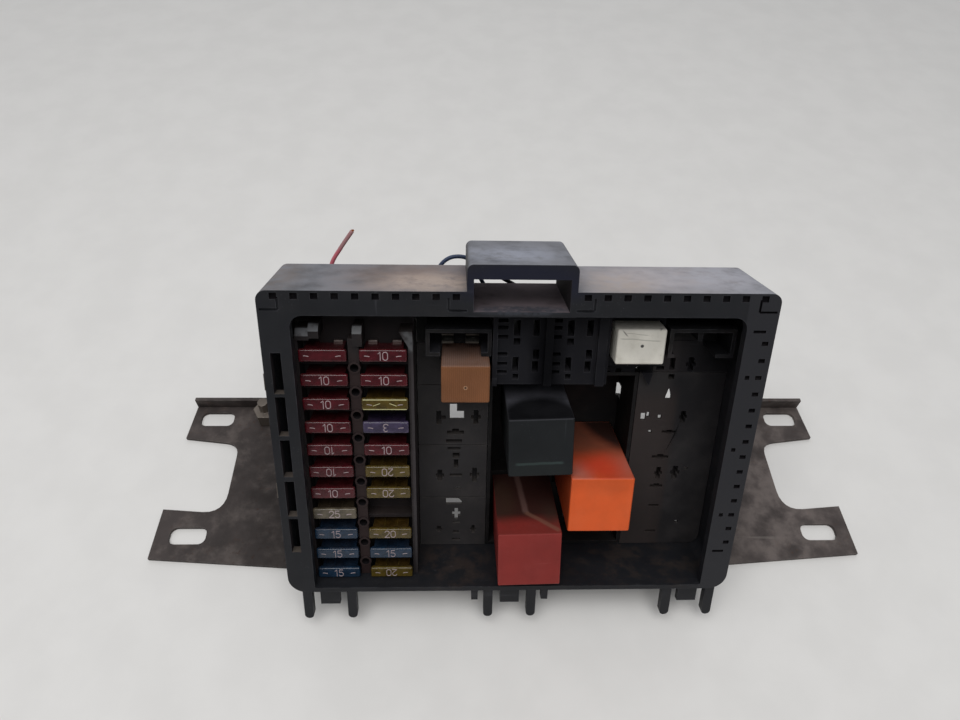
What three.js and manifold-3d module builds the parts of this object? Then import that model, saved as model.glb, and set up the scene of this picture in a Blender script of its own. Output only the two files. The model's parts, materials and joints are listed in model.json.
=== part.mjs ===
// A vehicle fuse and relay box without its lid, on its steel mounting bracket, in millimetres.
// World frame: +X is the long way of the bracket, +Y is its rear edge, +Z is up from its underside.
// The housing has a frame of its own: x right from its middle, y into it from the front face, and
// z up from its bottom edge. That frame leans back on the bracket.
import * as THREE from "three";
import { mergeVertices } from "three/addons/utils/BufferGeometryUtils.js";
import Module from "manifold-3d";

const wasm = await Module();
wasm.setup();

// ---- driving dimensions ----
const LEAN = THREE.MathUtils.degToRad(29);
const GAP = 0.3;
const HOUSING = { halfWidth: 100, height: 142.7, depth: 38, wall: 3, floor: 2.2, bezel: 4 };
const HOUSING_PLACE = { x: -2.7, y: -54.68, z: 22.5 };
const OPENING = { halfWidth: 88.3, bottom: 2.3, top: 132.8, lowRadius: 0.8, highRadius: 5 };
const CORNER = { top: 4, bottom: 8 };
const HOOD = { halfWidth: 21, top: 153.2, floor: 134.7, plate: 2, side: 2.6, roof: 3, beam: 5.7, lip: 2.5 };
const FUSE = {
  width: 19.1, thick: 5.3, front: 6.5, cap: 2.2, body: 12.2, waist: 16, waistThick: 4.1, blade: 6.3 };
const FUSE_BLADE = { width: 5.2, thick: 0.7, offset: 4.9 };
const FUSE_COLUMNS = [-78.3, -54.2];
const FUSE_ROWS = { count: 11, top: 113.6, pitch: 10.84 };
const EMPTY_SEAT = { column: 1, row: 7 };
const CARRIER = { x: [-96.7, -42.3], z: [2.5, 132.2], seat: 19.2, front: 9.5, wall: 2, edge: 6 };
const PLATE = { front: 30, back: 36 };
const WELL = { x: [-10, 57], z: [2.5, 96.4], deep: 56, shallow: 46, wall: 1.6, floor: 2.5 };
const MINI = { width: 28, height: 28, case: 1.1, base: 2.5, blade: 11, coil: 26 };
const MICRO = { width: 20.2, height: 15.5, case: 0.9, base: 2.2, blade: 9, coil: 12 };
const TALL_MICRO = { ...MICRO, width: 19.8, height: 16.6, coil: 17 };
const BRACKET = { halfLength: 180, sheet: 2, front: 19.5, tip: 24.3, rear: 116.5, lip: 9 };
const SLOT = { length: 18.5, width: 9, x: 163.3, lower: 36.2, upper: 106.4 };
const SCREW = {
  radius: 2.5, head: 4.6, headThick: 3.2, washer: 6.2, washerThick: 1, y: 24, z: [40, 95], bite: 2 };
const WIRE = { radius: 0.9, sides: 8, stepLength: 5.5 };

const COLOURS = {
  housing: { color: 0x26272a, roughness: 0.5, metalness: 0 },
  carrier: { color: 0x1b1c1f, roughness: 0.62, metalness: 0 },
  steel: { color: 0x6d625c, roughness: 0.55, metalness: 0.8 },
  zinc: { color: 0x9a9a92, roughness: 0.4, metalness: 0.9 },
  copper: { color: 0xa5683c, roughness: 0.35, metalness: 0.9 },
  base: { color: 0x2c2622, roughness: 0.6, metalness: 0 },
  red: { color: 0x8c2029, roughness: 0.35, metalness: 0 },
  clear: { color: 0x9a9278, roughness: 0.35, metalness: 0 },
  blue: { color: 0x2f5c86, roughness: 0.35, metalness: 0 },
  yellow: { color: 0xa8901c, roughness: 0.35, metalness: 0 },
  violet: { color: 0x6c5a92, roughness: 0.35, metalness: 0 },
  orange: { color: 0xd4552a, roughness: 0.5, metalness: 0 },
  relayRed: { color: 0x93343a, roughness: 0.5, metalness: 0 },
  relayBlack: { color: 0x303437, roughness: 0.5, metalness: 0 },
  relayBrown: { color: 0x9c6c47, roughness: 0.5, metalness: 0 },
  relayWhite: { color: 0xc9c7bb, roughness: 0.5, metalness: 0 },
  wireRed: { color: 0xb3202a, roughness: 0.45, metalness: 0 },
  wireBlue: { color: 0x23406e, roughness: 0.45, metalness: 0 },
  wireBlack: { color: 0x1a1a1c, roughness: 0.45, metalness: 0 },
};

// ---- solids ----
function solid(geometry) {
  const bare = geometry.index ? geometry.toNonIndexed() : geometry;
  bare.deleteAttribute("normal");
  bare.deleteAttribute("uv");
  const merged = mergeVertices(bare, 1e-4);
  const vertProperties = merged.attributes.position.array;
  const triVerts = new Uint32Array(merged.index.array);
  return new wasm.Manifold(new wasm.Mesh({ numProp: 3, vertProperties, triVerts }));
}

function join(parts) {
  return parts.reduce((whole, part) => whole.add(part));
}

function cut(whole, tools) {
  return whole.subtract(join(tools));
}

function slab(x, y, z) {
  const box = new THREE.BoxGeometry(x[1] - x[0], y[1] - y[0], z[1] - z[0]);
  return solid(box.translate((x[0] + x[1]) / 2, (y[0] + y[1]) / 2, (z[0] + z[1]) / 2));
}

// A block given by its middle and its size along x and z, between two depths.
function block(centre, size, y) {
  const x = [centre.x - size.w / 2, centre.x + size.w / 2];
  const z = [centre.z - size.h / 2, centre.z + size.h / 2];
  return slab(x, y, z);
}

const PRISM_AXES = {
  x: [new THREE.Vector3(0, 1, 0), new THREE.Vector3(0, 0, 1), new THREE.Vector3(1, 0, 0)],
  y: [new THREE.Vector3(1, 0, 0), new THREE.Vector3(0, 0, 1), new THREE.Vector3(0, -1, 0)],
  z: [new THREE.Vector3(1, 0, 0), new THREE.Vector3(0, 1, 0), new THREE.Vector3(0, 0, 1)],
};

// An outline pushed along one axis: (y, z) outlines go along x, (x, z) along y and (x, y) along z.
function prism(axis, outline, from, to, curveSegments = 6) {
  const depth = to - from;
  const geometry = new THREE.ExtrudeGeometry(outline, { depth, bevelEnabled: false, curveSegments });
  geometry.applyMatrix4(new THREE.Matrix4().makeBasis(...PRISM_AXES[axis]));
  const start = axis === "y" ? to : from;
  const move = new THREE.Vector3();
  move[axis] = start;
  return solid(geometry.translate(move.x, move.y, move.z));
}

function polygon(points) {
  return new THREE.Shape(points.map(([a, b]) => new THREE.Vector2(a, b)));
}

// A rectangle whose lower and upper corners have their own radii.
function roundedRectangle(a, b, low, high = low) {
  const shape = new THREE.Shape();
  shape.moveTo(a[0] + low, b[0]);
  shape.lineTo(a[1] - low, b[0]);
  shape.absarc(a[1] - low, b[0] + low, low, -Math.PI / 2, 0);
  shape.lineTo(a[1], b[1] - high);
  shape.absarc(a[1] - high, b[1] - high, high, 0, Math.PI / 2);
  shape.lineTo(a[0] + high, b[1]);
  shape.absarc(a[0] + high, b[1] - high, high, Math.PI / 2, Math.PI);
  shape.lineTo(a[0], b[0] + low);
  shape.absarc(a[0] + low, b[0] + low, low, Math.PI, Math.PI * 1.5);
  return shape;
}

function disc(axis, radius, centre, from, to, sides = 16) {
  const shape = new THREE.Shape();
  shape.absarc(centre[0], centre[1], radius, 0, Math.PI * 2);
  return prism(axis, shape, from, to, sides);
}

// The two ends of a span on one side of the middle, the lower end first.
function onSide(side, near, far) {
  return [side * near, side * far].sort((a, b) => a - b);
}

function series(count, make) {
  return Array.from({ length: count }, (_, index) => make(index));
}

// ---- housing: shell, bezel, hood and lid hooks in one moulding ----
const TOP_NOTCHES = { count: 10, first: 25, pitch: 7.6, w: 2.8, z: [139.3, 141.8], depth: 1.2 };
const SIDE_DASHES = { count: 14, top: 122.2, pitch: 7.37, x: 96.5, w: 2.6, h: 1.8, depth: 1.2 };
const INNER_DASHES = { x: 91.9, z: [107.5, 74.1, 41.1], size: 1.8 };
const END_SLITS = { x: 93.5, z: [127.2, 21.5], w: 5, h: 1.2 };
const SIDE_WINDOWS = { x: [-96.8, -92.8], z: [22.5, 41.5, 61.3, 80.9, 99.9], height: 17.6 };
const GROOVE = { z: 135.2, run: 7, rise: 5, width: 0.9, depth: 0.9, x: [-99, -20.9, 20.9, 99] };
const HOOKS = {
  groups: [-82.2, 0.3, 83.6], spread: 10, prong: 4.2, drop: 15.8, y: [0.6, 4.4], tab: 8.8, tabDrop: 8.3,
  pegs: [-16, 16.3], peg: 3, pegDrop: 5.8 };
const ROOT = 1;

// The outline of the housing's hollow, shrunk by a margin.
function hollowOutline(margin) {
  const { halfWidth, height, wall, floor } = HOUSING;
  const side = halfWidth - wall - margin;
  return roundedRectangle([-side, side], [floor + margin, height - wall - margin],
    CORNER.bottom - wall, CORNER.top - wall);
}

// What is fitted into the hollow follows its rounded corners.
function insideHousing(body) {
  return body.intersect(prism("y", hollowOutline(GAP), 0, HOUSING.depth));
}

function housingShell() {
  const { halfWidth, height, depth, bezel } = HOUSING;
  const outer = roundedRectangle([-halfWidth, halfWidth], [0, height], CORNER.bottom, CORNER.top);
  const mouth = roundedRectangle(
    [-OPENING.halfWidth, OPENING.halfWidth], [OPENING.bottom, OPENING.top],
    OPENING.lowRadius, OPENING.highRadius);
  return cut(prism("y", outer, 0, depth), [
    prism("y", hollowOutline(0), bezel, depth + ROOT), prism("y", mouth, -ROOT, bezel + ROOT)]);
}

function hood() {
  const { halfWidth, top, floor, plate, side, roof, beam, lip } = HOOD;
  const back = HOUSING.depth + 0.7;
  const outline = roundedRectangle([-halfWidth, halfWidth], [floor - plate, top], 0.1, lip);
  const clear = [side - halfWidth, halfWidth - side];
  return {
    body: prism("y", outline, 0, back),
    tunnel: join([slab(clear, [-ROOT, back + ROOT], [floor, top - beam]),
      slab(clear, [beam, back + ROOT], [floor, top - roof])]),
  };
}

function hooks() {
  const { groups, spread, prong, drop, y, tab, tabDrop, pegs, peg, pegDrop } = HOOKS;
  const finger = (x) => prism("y",
    roundedRectangle([x - prong / 2, x + prong / 2], [-drop, ROOT], prong / 2 - 0.05, 0.1), y[0], y[1]);
  const tongue = (x) => slab([x - tab / 2, x + tab / 2], [y[0] + ROOT, y[1]], [-tabDrop, ROOT]);
  const stub = (x) => slab([x - peg / 2, x + peg / 2], y, [-pegDrop, ROOT]);
  const hinges = groups.flatMap((x) => [finger(x - spread), finger(x + spread), tongue(x)]);
  return [...hinges, ...pegs.map(stub)];
}

// Shallow marks are pressed into the bezel's face; the windows go through it.
function bezelMarks() {
  const mark = (centre, size, depth) => block(centre, size, [-ROOT, depth]);
  const notchSize = { w: TOP_NOTCHES.w, h: TOP_NOTCHES.z[1] - TOP_NOTCHES.z[0] };
  const notchMiddle = (TOP_NOTCHES.z[0] + TOP_NOTCHES.z[1]) / 2;
  const notches = series(TOP_NOTCHES.count, (i) => TOP_NOTCHES.first + TOP_NOTCHES.pitch * i)
    .flatMap((x) => [-x, x].map((at) => mark({ x: at, z: notchMiddle }, notchSize, TOP_NOTCHES.depth)));
  const dashes = series(SIDE_DASHES.count, (i) => SIDE_DASHES.top - SIDE_DASHES.pitch * i)
    .map((z) => mark({ x: SIDE_DASHES.x, z }, SIDE_DASHES, SIDE_DASHES.depth));
  const dotSize = { w: INNER_DASHES.size, h: INNER_DASHES.size };
  const dots = INNER_DASHES.z.map((z) => mark({ x: INNER_DASHES.x, z }, dotSize, SIDE_DASHES.depth));
  const slits = END_SLITS.z.map((z) => mark({ x: END_SLITS.x, z }, END_SLITS, SIDE_DASHES.depth));
  const windows = SIDE_WINDOWS.z.map((z) =>
    slab(SIDE_WINDOWS.x, [-ROOT, HOUSING.bezel + ROOT], [z, z + SIDE_WINDOWS.height]));
  return [...notches, ...dashes, ...dots, ...slits, ...windows, ...grooves()];
}

// Four L-shaped grooves mark the corners of the two label fields over the opening.
function grooves() {
  const { z, run, rise, width, depth } = GROOVE;
  return GROOVE.x.flatMap((x, index) => {
    const inward = index % 2 === 0 ? run : -run;
    const line = [Math.min(x, x + inward), Math.max(x, x + inward)];
    const leg = index % 2 === 0 ? line[1] : line[0];
    return [slab(line, [-ROOT, depth], [z - width / 2, z + width / 2]),
      slab([leg - width / 2, leg + width / 2], [-ROOT, depth], [z, z + rise])];
  });
}

function screwPlaces() {
  return SCREW.z.flatMap((z) => [{ side: -1, z }, { side: 1, z }]);
}

// Blind bores in the housing's side walls.
function screwBores(radius) {
  const ends = [HOUSING.halfWidth - SCREW.bite - GAP, HOUSING.halfWidth + ROOT];
  return screwPlaces().map(({ side, z }) => disc("x", radius, [SCREW.y, z], ...onSide(side, ...ends), 6));
}

function housing() {
  const { body, tunnel } = hood();
  const moulding = join([housingShell(), body, ...hooks()]);
  return cut(moulding, [tunnel, ...bezelMarks(), ...screwBores(SCREW.radius + GAP)]);
}

// ---- fuse carrier and fuses ----
const MIDDLE = { x: 0, z: 0 };
const rowHeight = (row) => FUSE_ROWS.top - FUSE_ROWS.pitch * row;
const MID_RIB = { x: [-68.4, -64.1], holeRadius: 1.8, holeDepth: 6, boss: 2.7, proud: 0.4, drop: 0.9 };
const CROSS_WALL = { thick: 1.6, front: 13 };
const POSTS = [
  { x: [-89, -83.6], foot: 119.4, top: 123.8 }, { x: [-83.7, -79.6], foot: 120.2, top: 125.8 },
  { x: [-66.4, -62.6], foot: 116.8, top: 124.8 }];
const POST = { front: 8.6, chamfer: [2.2, 2.6] };
const GUSSET = [[-47.8, 123.2], [-42.5, 123.2], [-42.5, 113.5]];

// An upright post at the head of the fuse rows, with a sloping face on its top.
function post({ x, foot, top }) {
  const { front, chamfer } = POST;
  const back = CARRIER.seat + ROOT;
  return prism("x", polygon([[back, foot], [front, foot], [front, top - chamfer[1]],
    [front + chamfer[0], top], [back, top]]), x[0], x[1]);
}

function carrierWalls() {
  const { x, z, seat, front, wall } = CARRIER;
  const outerLeft = FUSE_COLUMNS[0] - FUSE.width / 2 - 1.5 * GAP;
  const wallTop = rowHeight(-0.5) + CROSS_WALL.thick / 2;
  const rails = [[outerLeft - wall, outerLeft], MID_RIB.x, [x[1] - wall, x[1]]];
  const cross = series(FUSE_ROWS.count, (i) => rowHeight(i + 0.5))
    .filter((height) => height > z[0] + ROOT);
  return [
    ...rails.map((rail) => slab(rail, [front, seat + ROOT], [z[0], wallTop])),
    ...cross.map((height) => slab([outerLeft - wall / 2, x[1] - wall / 2], [CROSS_WALL.front, seat + ROOT],
      [height - CROSS_WALL.thick / 2, height + CROSS_WALL.thick / 2])),
    ...POSTS.map(post),
    prism("y", polygon(GUSSET), POST.front, seat + ROOT),
  ];
}

function bladeSlots() {
  const size = { w: FUSE_BLADE.width + 2 * GAP, h: FUSE_BLADE.thick + 2 * GAP };
  const seats = FUSE_COLUMNS.flatMap((x) => series(FUSE_ROWS.count, (row) => ({ x, z: rowHeight(row) })));
  return seats.flatMap(({ x, z }) => [-1, 1].map((side) =>
    block({ x: x + side * FUSE_BLADE.offset, z }, size, [CARRIER.seat - ROOT, PLATE.back + ROOT])));
}

// Round bars along y on the middle rib, one between each two rows.
function ribRounds(radius, from, to) {
  const middle = (MID_RIB.x[0] + MID_RIB.x[1]) / 2;
  return series(FUSE_ROWS.count - 1, (i) =>
    disc("y", radius, [middle, rowHeight(i + 0.5) - MID_RIB.drop], from, to, 5));
}

function fuseCarrier() {
  const { x, z, seat } = CARRIER;
  const flange = slab(x, [PLATE.front, PLATE.back], z);
  const core = slab([x[0] + CARRIER.edge, x[1]], [seat, PLATE.back], z);
  const bosses = ribRounds(MID_RIB.boss, CARRIER.front - MID_RIB.proud, seat + ROOT);
  const bores = ribRounds(MID_RIB.holeRadius, CARRIER.front - ROOT, CARRIER.front + MID_RIB.holeDepth);
  const moulding = join([flange, core, ...carrierWalls(), ...bosses]);
  return insideHousing(cut(moulding, [...bladeSlots(), ...bores]));
}

// One blade fuse at the middle of its seat: cap, narrower waist and two blades.
function fuse() {
  const { width, thick, front, cap, body, waist, waistThick, blade } = FUSE;
  const blades = [-1, 1].map((side) => block({ x: side * FUSE_BLADE.offset, z: 0 },
    { w: FUSE_BLADE.width, h: FUSE_BLADE.thick }, [front + body - ROOT, front + body + blade]));
  return join([
    block(MIDDLE, { w: width, h: thick }, [front, front + cap]),
    block(MIDDLE, { w: waist, h: waistThick }, [front + cap - ROOT, front + body]),
    ...blades,
  ]);
}

const FUSE_KINDS = [
  ["red", "red", "red", "red", "red", "red", "red", "clear", "blue", "blue", "blue"],
  ["red", "red", "yellow", "violet", "red", "yellow", "yellow", "", "yellow", "blue", "yellow"],
];

// ---- relays: case, base with blades, and coil ----
const MINI_BLADES = [
  { x: 0, z: 8.4, w: 6.3, h: 0.8 }, { x: 0, z: 0.6, w: 6.3, h: 0.8 }, { x: -8.6, z: 0.6, w: 0.8, h: 6.3 },
  { x: 8.6, z: 0.6, w: 0.8, h: 6.3 }, { x: 0, z: -8, w: 0.8, h: 6.3 }];
const MICRO_BLADES = [
  { x: -7, z: 0, w: 0.8, h: 4.8 }, { x: 7, z: 0, w: 0.8, h: 4.8 },
  { x: 0, z: 4.2, w: 4.8, h: 0.8 }, { x: 0, z: -4.2, w: 4.8, h: 0.8 }];

const MINI_KIND = { kind: MINI, blades: MINI_BLADES };
const RELAYS = {
  black: { ...MINI_KIND, x: 11.2, z: 72.6, front: 4, back: WELL.deep, turn: -2, colour: "relayBlack" },
  orange: { ...MINI_KIND, x: 39.1, z: 43.7, front: 3.6, back: WELL.deep, turn: 0, colour: "orange" },
  red: { ...MINI_KIND, x: 8, z: 19.6, front: -3, back: WELL.shallow, turn: -1.4, colour: "relayRed" },
  brown: { kind: TALL_MICRO, blades: MICRO_BLADES, x: -21.1, z: 102, front: 4.5, back: PLATE.front,
    turn: 0, colour: "relayBrown" },
  white: { kind: MICRO, blades: MICRO_BLADES, x: 50.5, z: 116.5, front: 10, back: PLATE.front,
    turn: 0, colour: "relayWhite" },
};

function relayCase({ kind, front, back }) {
  const { width: w, height: h } = kind;
  const bore = { w: w - 2 * kind.case, h: h - 2 * kind.case };
  const shell = block(MIDDLE, { w, h }, [front, back - GAP]);
  return cut(shell, [block(MIDDLE, bore, [front + kind.case, back])]);
}

function relayBase({ kind, blades, back }) {
  const shrink = 2 * (kind.case + GAP);
  const size = { w: kind.width - shrink, h: kind.height - shrink };
  const top = back - GAP - kind.base;
  const pins = blades.map((pin) => block(pin, pin, [back - ROOT, back + kind.blade]));
  return join([block(MIDDLE, size, [top, back - GAP]), ...pins]);
}

const SPOOL = { core: 0.3, cheek: 0.38, cheekThick: 1.2 };

function relayCoil({ kind, back }) {
  const bottom = back - 2 * GAP - kind.base;
  const top = bottom - kind.coil;
  const drum = (share, from, to) => disc("y", kind.height * share, [0, 0], from, to, 6);
  return join([drum(SPOOL.core, top, bottom), drum(SPOOL.cheek, top, top + SPOOL.cheekThick),
    drum(SPOOL.cheek, bottom - SPOOL.cheekThick, bottom)]);
}

// ---- socket plates that carry the relays ----
const clearance = (pin) => ({ w: pin.w + 2 * GAP, h: pin.h + 2 * GAP });
const THROUGH = [PLATE.front - ROOT, PLATE.back + ROOT];
const BLIND = [PLATE.front - ROOT, PLATE.back - 1];
const RELIEF = { skin: 1.5, left: 0.4, right: 2.2, below: 4, above: 0.4 };
const LEFT_PLATE = [-42, -10.3];
const RIGHT_PLATE = { x: [57.3, 96.7], z: [2.5, 96.4] };
const LEFT_ROWS = [[2.5, 30.2], [30.5, 59], [59.3, 89.9], [90.2, 110]];
const UPPER = {
  x: [-10, 62.6], z: [96.7, 132.2], front: 14, foot: 97.9, split: 38.5, step: 19.3, stepFoot: 104,
  rib: 12 };

function holes(list, depth) {
  return list.map(([x, z, w, h]) => block({ x, z }, { w, h }, depth));
}

// The wider pocket behind the plate's thin front that a through hole opens into.
function pocket(x, z) {
  return slab([x[0] - RELIEF.left, x[1] + RELIEF.right], [PLATE.front + RELIEF.skin, THROUGH[1]],
    [z[0] - RELIEF.below, z[1] + RELIEF.above]);
}

// Holes right through a plate.
function openings(list) {
  return [...holes(list, THROUGH), ...list.map(([x, z, w, h]) =>
    pocket([x - w / 2, x + w / 2], [z - h / 2, z + h / 2]))];
}

// A hole right through a plate whose outline is given as points in x and z.
function outlined(points) {
  const [x, z] = [0, 1].map((axis) => points.map((point) => point[axis]));
  return [prism("y", polygon(points), ...THROUGH), pocket([Math.min(...x), Math.max(...x)],
    [Math.min(...z), Math.max(...z)])];
}

function pinSlots(relay, depth = THROUGH) {
  const slots = relay.blades.map((pin) => block(pin, clearance(pin), depth));
  return slots.map((slot) => slot.rotate([0, relay.turn, 0]).translate([relay.x, 0, relay.z]));
}

// Each hole is its middle's x and z, its width and its height.
const LEFT_OPEN = [
  [[-24.5, 20.8, 1.6, 6.5], [-24.5, 20.8, 3.9, 2.4], [-24.3, 15.8, 3.4, 1]],
  [[-24.2, 35.4, 3, 0.9]],
  [[-26, 76.6, 3.2, 7.7], [-24.4, 74.8, 6.4, 4.1]],
  [],
];
const LEFT_WEDGE = [[-29.4, 26.4], [-21.8, 26.4], [-21.8, 28], [-23.6, 29.8], [-29.4, 29.8]];
const LEFT_BLIND = [
  [[-32.9, 11.7, 1.8, 3.6], [-32.9, 11.7, 2.9, 1.4], [-24.6, 10, 3, 1.6], [-16.2, 11.6, 1.6, 4.8],
    [-16.2, 11.6, 3, 1.6], [-24.5, 5.6, 4, 1.5]],
  [[-24.7, 53.5, 3.2, 2.8], [-24.7, 49, 2, 4.6], [-25.7, 57.2, 6, 1.4], [-32.3, 42.6, 2.2, 6.1],
    [-32.3, 42.6, 3.8, 2], [-15.9, 42.8, 2.2, 7.8], [-15.9, 42.8, 4.4, 2.2],
    [-24.7, 42.8, 5.7, 1.4]],
  [[-32.6, 73.5, 2.2, 6.7], [-31, 73.5, 3, 2], [-15.7, 73.8, 2.2, 7.2], [-15.7, 73.8, 4.4, 2],
    [-25, 65.8, 7.8, 1.8], [-25, 66.6, 3, 2.4], [-25.7, 61.2, 7.4, 1.8]],
  [],
];

function leftSocket(row) {
  const plate = slab(LEFT_PLATE, [PLATE.front, PLATE.back], LEFT_ROWS[row]);
  const pins = row === LEFT_ROWS.length - 1 ? pinSlots(RELAYS.brown) : [];
  const wedge = row === 0 ? outlined(LEFT_WEDGE) : [];
  return cut(plate, [...openings(LEFT_OPEN[row]), ...wedge, ...holes(LEFT_BLIND[row], BLIND), ...pins]);
}

// The long relays stand in a deep tray. Its floor is nearer below the two steps.
const STEP = { x: 23.8, z: [35, 28] };
const WELL_GAPS = [
  { x: [54.4, 58], y: [51.5, 60], z: [72.3, 79.2] }, { x: [30.5, 37.5], y: [45, 60], z: [7.2, 8.8] }];

function relayWell() {
  const { x, z, deep, shallow, wall, floor } = WELL;
  const front = PLATE.front;
  const inX = [x[0] + wall, x[1] - wall];
  const shell = join([
    slab(x, [front, shallow + floor], z),
    slab(x, [front, deep + floor], [STEP.z[0] - wall, z[1]]),
    slab([STEP.x - wall, x[1]], [front, deep + floor], [STEP.z[1] - wall, z[1]])]);
  const hollow = [
    slab(inX, [front - ROOT, shallow], [z[0] + wall, z[1] - wall]),
    slab(inX, [front - ROOT, deep], [STEP.z[0], z[1] - wall]),
    slab([STEP.x, inX[1]], [front - ROOT, deep], [STEP.z[1], z[1] - wall])];
  const seats = [RELAYS.black, RELAYS.orange, RELAYS.red].flatMap((relay) =>
    pinSlots(relay, [relay.back - ROOT, relay.back + floor + ROOT]));
  return cut(shell, [...hollow, ...seats, ...WELL_GAPS.map((gap) => slab(gap.x, gap.y, gap.z))]);
}

const RIGHT_OPEN = [
  [61.3, 74.1, 2.3, 3.6], [63.5, 75.1, 1.4, 2.6], [69, 73.9, 1.7, 2.1], [65.4, 66.2, 1.6, 1.6],
  [85.2, 46.1, 1.6, 1.6], [84.5, 15.4, 1.6, 1.6]];
const RIGHT_TRIANGLE = [[70.2, 83.1], [73, 83.1], [73, 84.6], [72, 88.2], [71.4, 88.2], [70.6, 85.2]];
const RIGHT_BLIND = [
  [71.9, 52.5, 7.9, 1.6], [71.9, 52.7, 3, 2.6], [72, 43.6, 2.2, 6.7], [72, 43.6, 3.7, 2],
  [80, 43.8, 2.6, 7.3], [80, 43.8, 4.4, 2.4], [71.9, 36.3, 6.1, 1.5], [71.9, 36.5, 2.6, 2.4],
  [79.9, 73.8, 2.4, 6.2], [79.9, 73.8, 3.7, 2], [74.4, 66, 6.9, 1.4], [74.4, 66, 2.6, 2.2],
  [71.8, 94.2, 2.7, 2.6], [72, 25, 5, 1.4], [72, 9.8, 5, 1.4]];

function rightSocket() {
  const plate = slab(RIGHT_PLATE.x, [PLATE.front, PLATE.back], RIGHT_PLATE.z);
  return insideHousing(cut(plate,
    [...openings(RIGHT_OPEN), ...outlined(RIGHT_TRIANGLE), ...holes(RIGHT_BLIND, BLIND)]));
}

// The two sides of one upper socket column, from the middle of the column's left rib.
const COLUMN = { pitch: 22.1, first: -8.9, levels: [126.4, 123.3, 119.2, 111.6, 107.2, 103.5] };
const RUNG = { x: 3, w: 4.4, h: 1.7, bottom: 28 };
const COLUMN_SLOTS = [
  [8.8, 123.1, 2.8, 6.9], [8.9, 117.2, 2.8, 3], [8.6, 107, 2.6, 6.6], [8.8, 101.4, 2.4, 2.6],
  [16.7, 123.2, 2.6, 7], [17, 111.5, 2.6, 4.4], [16.8, 106, 2.6, 5]];
const COLUMN_RIBS = [[-10, -8], [11.5, 14.8], [33.2, 37]];
const UPPER_BLIND = [
  [42.1, 100.1, 3.8, 2.2], [42.2, 96.2, 3.3, 2.2], [47.5, 95.5, 2.6, 5.6], [56.1, 97.8, 2.4, 3.2]];
const BRACE = [[57.3, 97.5], [62.3, 97.5], [61.2, 91]];
const BRACE_PROUD = 3;

function columnSlots(left) {
  const rungs = COLUMN.levels.map((z) => [left + RUNG.x, z, RUNG.w, RUNG.h]);
  const slots = COLUMN_SLOTS.map(([x, ...rest]) => [left + x, ...rest]);
  const face = UPPER.front - ROOT;
  return [...holes(rungs, [face, RUNG.bottom]), ...holes(slots, [face, THROUGH[1]])];
}

function upperSocket() {
  const { x, z, front, foot, split, step, stepFoot, rib } = UPPER;
  const white = RELAYS.white;
  const well = { w: MICRO.width + 3 * GAP, h: MICRO.height + 3 * GAP };
  const ribs = COLUMN_RIBS.map((sides) => slab(sides, [rib, front + ROOT], [foot, z[1]]));
  const solidBlock = join([slab([x[0], split], [front, PLATE.back], [foot, z[1]]),
    slab(x, [PLATE.front, PLATE.back], z),
    slab([split - ROOT, x[1]], [step, PLATE.back], [stepFoot, z[1]]),
    prism("y", polygon(BRACE), PLATE.front - BRACE_PROUD, PLATE.front - GAP),
    slab([BRACE[0][0], BRACE[1][0]], [PLATE.front - ROOT, PLATE.front + ROOT], [z[0], BRACE[0][1]]),
    ...ribs]);
  const hollow = block(white, well, [step - ROOT, PLATE.front]);
  return cut(solidBlock, [hollow, ...pinSlots(white), ...columnSlots(COLUMN.first),
    ...columnSlots(COLUMN.first + COLUMN.pitch), ...holes(UPPER_BLIND, BLIND)]);
}

// A plug-in seat: a rim that stands off its plate, notched along its lower side, with contact slots
// at its bottom.
const SEAT = { rim: 1.6, contact: { spread: 4.8, w: 5, h: 1.6 }, divider: 2, dividerBack: 3 };

function connectorSeat({ plate, rim, notch, marks = [], divided = false }) {
  const middle = { x: (rim.x[0] + rim.x[1]) / 2, z: (rim.z[0] + rim.z[1]) / 2 };
  const contacts = [-1, 1].map((side) =>
    block({ x: middle.x + side * SEAT.contact.spread, z: middle.z }, SEAT.contact, THROUGH));
  const body = join([slab(plate.x, [PLATE.front, PLATE.back], plate.z),
    slab(rim.x, [UPPER.front, PLATE.back], rim.z)]);
  const recess = slab([rim.x[0] + SEAT.rim, rim.x[1] - SEAT.rim], [UPPER.front - ROOT, PLATE.front],
    [rim.z[0] + SEAT.rim, rim.z[1] - SEAT.rim]);
  const gap = slab(notch, [UPPER.front - ROOT, PLATE.front - GAP], [rim.z[0] - ROOT, middle.z]);
  const seat = cut(body, [recess, gap, ...contacts, ...holes(marks, BLIND)]);
  const half = SEAT.divider / 2;
  const divider = slab([middle.x - half, middle.x + half],
    [UPPER.front + SEAT.dividerBack, PLATE.front + ROOT], [middle.z, rim.z[1]]);
  return divided ? seat.add(divider) : seat;
}

const LEFT_SEAT = {
  plate: { x: LEFT_PLATE, z: [110.3, 132.2] }, rim: { x: [-37.4, -10.4], z: [110.6, 122.4] },
  notch: [-31.6, -14.6] };
const RIGHT_SEAT = {
  plate: { x: [62.9, 96.7], z: [96.7, 132.2] }, rim: { x: [63.2, 91], z: [110.2, 123] }, notch: [66, 83.5],
  marks: [[66.2, 98.6, 3.5, 1.8], [71.5, 100.6, 2.4, 5.6], [79.9, 100.4, 2.6, 6.8], [79.9, 100.4, 4.6, 2]],
  divided: true };

// ---- metal strips behind the fuses ----
const BUS = { offset: -FUSE_BLADE.offset, w: 5, thick: 1, tab: 7, front: PLATE.back + GAP, z: [6, 118] };

function busBar(column) {
  const middle = FUSE_COLUMNS[column] + BUS.offset;
  const x = [middle - BUS.w / 2, middle + BUS.w / 2];
  const back = BUS.front + BUS.thick;
  const bar = slab(x, [BUS.front, back], BUS.z);
  return bar.add(slab(x, [BUS.front, back + BUS.tab], [BUS.z[1] - BUS.thick, BUS.z[1]]));
}

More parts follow.
